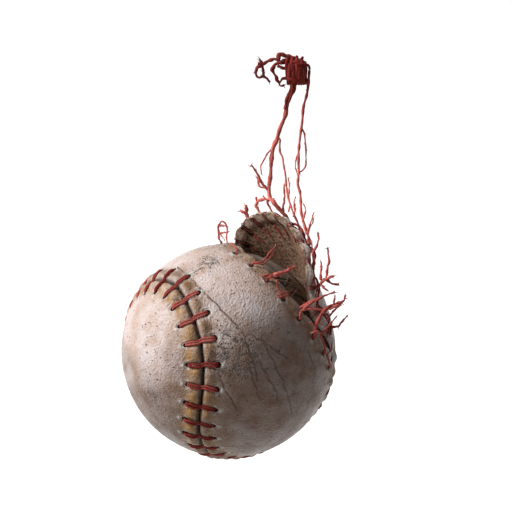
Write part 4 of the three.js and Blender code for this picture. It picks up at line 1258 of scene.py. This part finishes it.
# Sideways place and height of the neck's middle
NECK_WAY = [(-0.4, -3.2), (0.3, -4.9), (0.4, -6.6), (0.1, -8.4), (-0.2, -10), (-0.3, -11.5), (-0.25, -13)]
neck = Threads()
for turn in range(3):
    angle = 2 * math.pi * turn / 3
    route = []
    for i, (x, z) in enumerate(NECK_WAY):
        spin, apart = angle + 0.35 * i, 0.55 if i < 5 else 0.34
        route.append((x + apart * math.cos(spin), apart * math.sin(spin), z))
    radius = 0.6 if turn < 2 else 0.5
    neck.add(spline(route, THREAD_STEP), radius, plies=4, pitch=16, sides=12, uneven=0.2, tone=0.3)
neck = neck.build("knot_neck_threads", THREAD, None, "red_thread", "knot_neck")
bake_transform(neck)

hang("tangle_upper_threads", "knot", 0.68,
     [(-1.6, 0, 4.4), (-3.2, 0, 4.8), (-4.4, 0, 4.5), (-6.7, -0.6, 4.7), (-6.6, -1, 3), (-8.4, -1.4, 2.5),
      (-10.2, -1.8, 1.2), (-11.2, -2, 0.2), (-13, -2.4, -0.1)],
     [(-11.2, -2, 0.2), (-12.8, -2.6, 1.7)],
     [(-11.1, -2, -0.1), (-12.5, -2.3, -0.9), (-12.9, -2.5, -2.3), (-12.6, -2.6, -3.7), (-11.3, -2.4, -4.3),
      (-9.9, -2, -3.7), (-7.5, -1.8, -5.1)],
     [(-10, -2, -3.7), (-10.6, -2, -1.7), (-11.1, -2, 0.1)], nodes=["tangle_upper"])
hang("tangle_middle_threads", "knot", 0.62,
     [(-2.2, 0.1, 2.4), (-4.5, 0.4, 2.1), (-6.5, 0.8, 1.5), (-7.8, 1, -0.6), (-7.3, 1.2, -1.9),
      (-6.1, 1, -3.2), (-4.9, 0.8, -4.6), (-3.6, 0.6, -5.7), (-2.6, 0.4, -5.4)],
     [(-6.4, 0.8, 0.6), (-4.4, 0.3, 0.2), (-2.2, 0.1, 0.1)],
     [(-4.4, -0.6, -4.8), (-3.4, -0.6, -2.9), (-1.4, -0.2, -2.9)],
     [(-5.6, 0.5, 1.6), (-4.8, -0.2, 3.0), (-3.0, -0.4, 3.4), (-1.6, -0.4, 2.4)], nodes=["tangle_middle"])


# Floor, backdrop and light
AMBIENT = 0.1
FLOOR_Z = -0.3
FLOOR_HALF = 4
FLOOR_GREY = 0.55


def seen_as_background(n):
    """1 for rays that see the background, directly, in a reflection or through something clear."""
    rays = n.node("ShaderNodeLightPath").outputs
    seen = rays["Is Camera Ray"]
    for ray in ("Is Glossy Ray", "Is Transmission Ray"):
        seen = n.math("MAXIMUM", seen, rays[ray])
    return seen


n = Nodes("studio", bpy.data.worlds)
bpy.context.scene.world = n.owner
background = n.tree.nodes["Background"].inputs
n.fill(background["Strength"], n.ramp(seen_as_background(n), 0.0, 1.0, AMBIENT, 1.0))
n.fill(background["Color"], (1.0, 1.0, 1.0))

n = Nodes("pale_floor")
n.tree.nodes.remove(n.tree.nodes["Principled BSDF"])
matt = n.node("ShaderNodeBsdfDiffuse", {"Color": (FLOOR_GREY, FLOOR_GREY, FLOOR_GREY, 1)})
glow = n.node("ShaderNodeEmission", {"Strength": seen_as_background(n)})
both = n.node("ShaderNodeAddShader", {0: matt.outputs[0], 1: glow.outputs[0]})
n.fill(n.tree.nodes["Material Output"].inputs["Surface"], both.outputs[0])
floor_mesh = bpy.data.meshes.new("floor")
corners = [(x * FLOOR_HALF, y * FLOOR_HALF, FLOOR_Z) for x, y in ((-1, -1), (1, -1), (1, 1), (-1, 1))]
floor_mesh.from_pydata(corners, [], [(0, 1, 2, 3)])
floor_mesh.materials.append(n.owner)
floor_object = bpy.data.objects.new("floor", floor_mesh)
bpy.context.collection.objects.link(floor_object)


def area_light(name, direction, distance, size, power):
    data = bpy.data.lights.new(name, "AREA")
    data.shape, data.size, data.energy = "DISK", size, power
    light = bpy.data.objects.new(name, data)
    bpy.context.collection.objects.link(light)
    way = Vector(direction).normalized()
    light.location = Vector(CENTRE * MM) + way * distance
    light.rotation_mode = "QUATERNION"
    light.rotation_quaternion = way.to_track_quat("Z", "Y")


area_light("key", (-0.9, -0.2, 0.48), distance=1.2, size=0.4, power=16.8)
area_light("fill_front", (-0.1, -0.95, 0.3), distance=1.5, size=1.2, power=0.45)
area_light("top", (0.1, 0.35, 0.93), distance=1.3, size=0.9, power=1.2)

bpy.context.scene.view_settings.view_transform = "Standard"
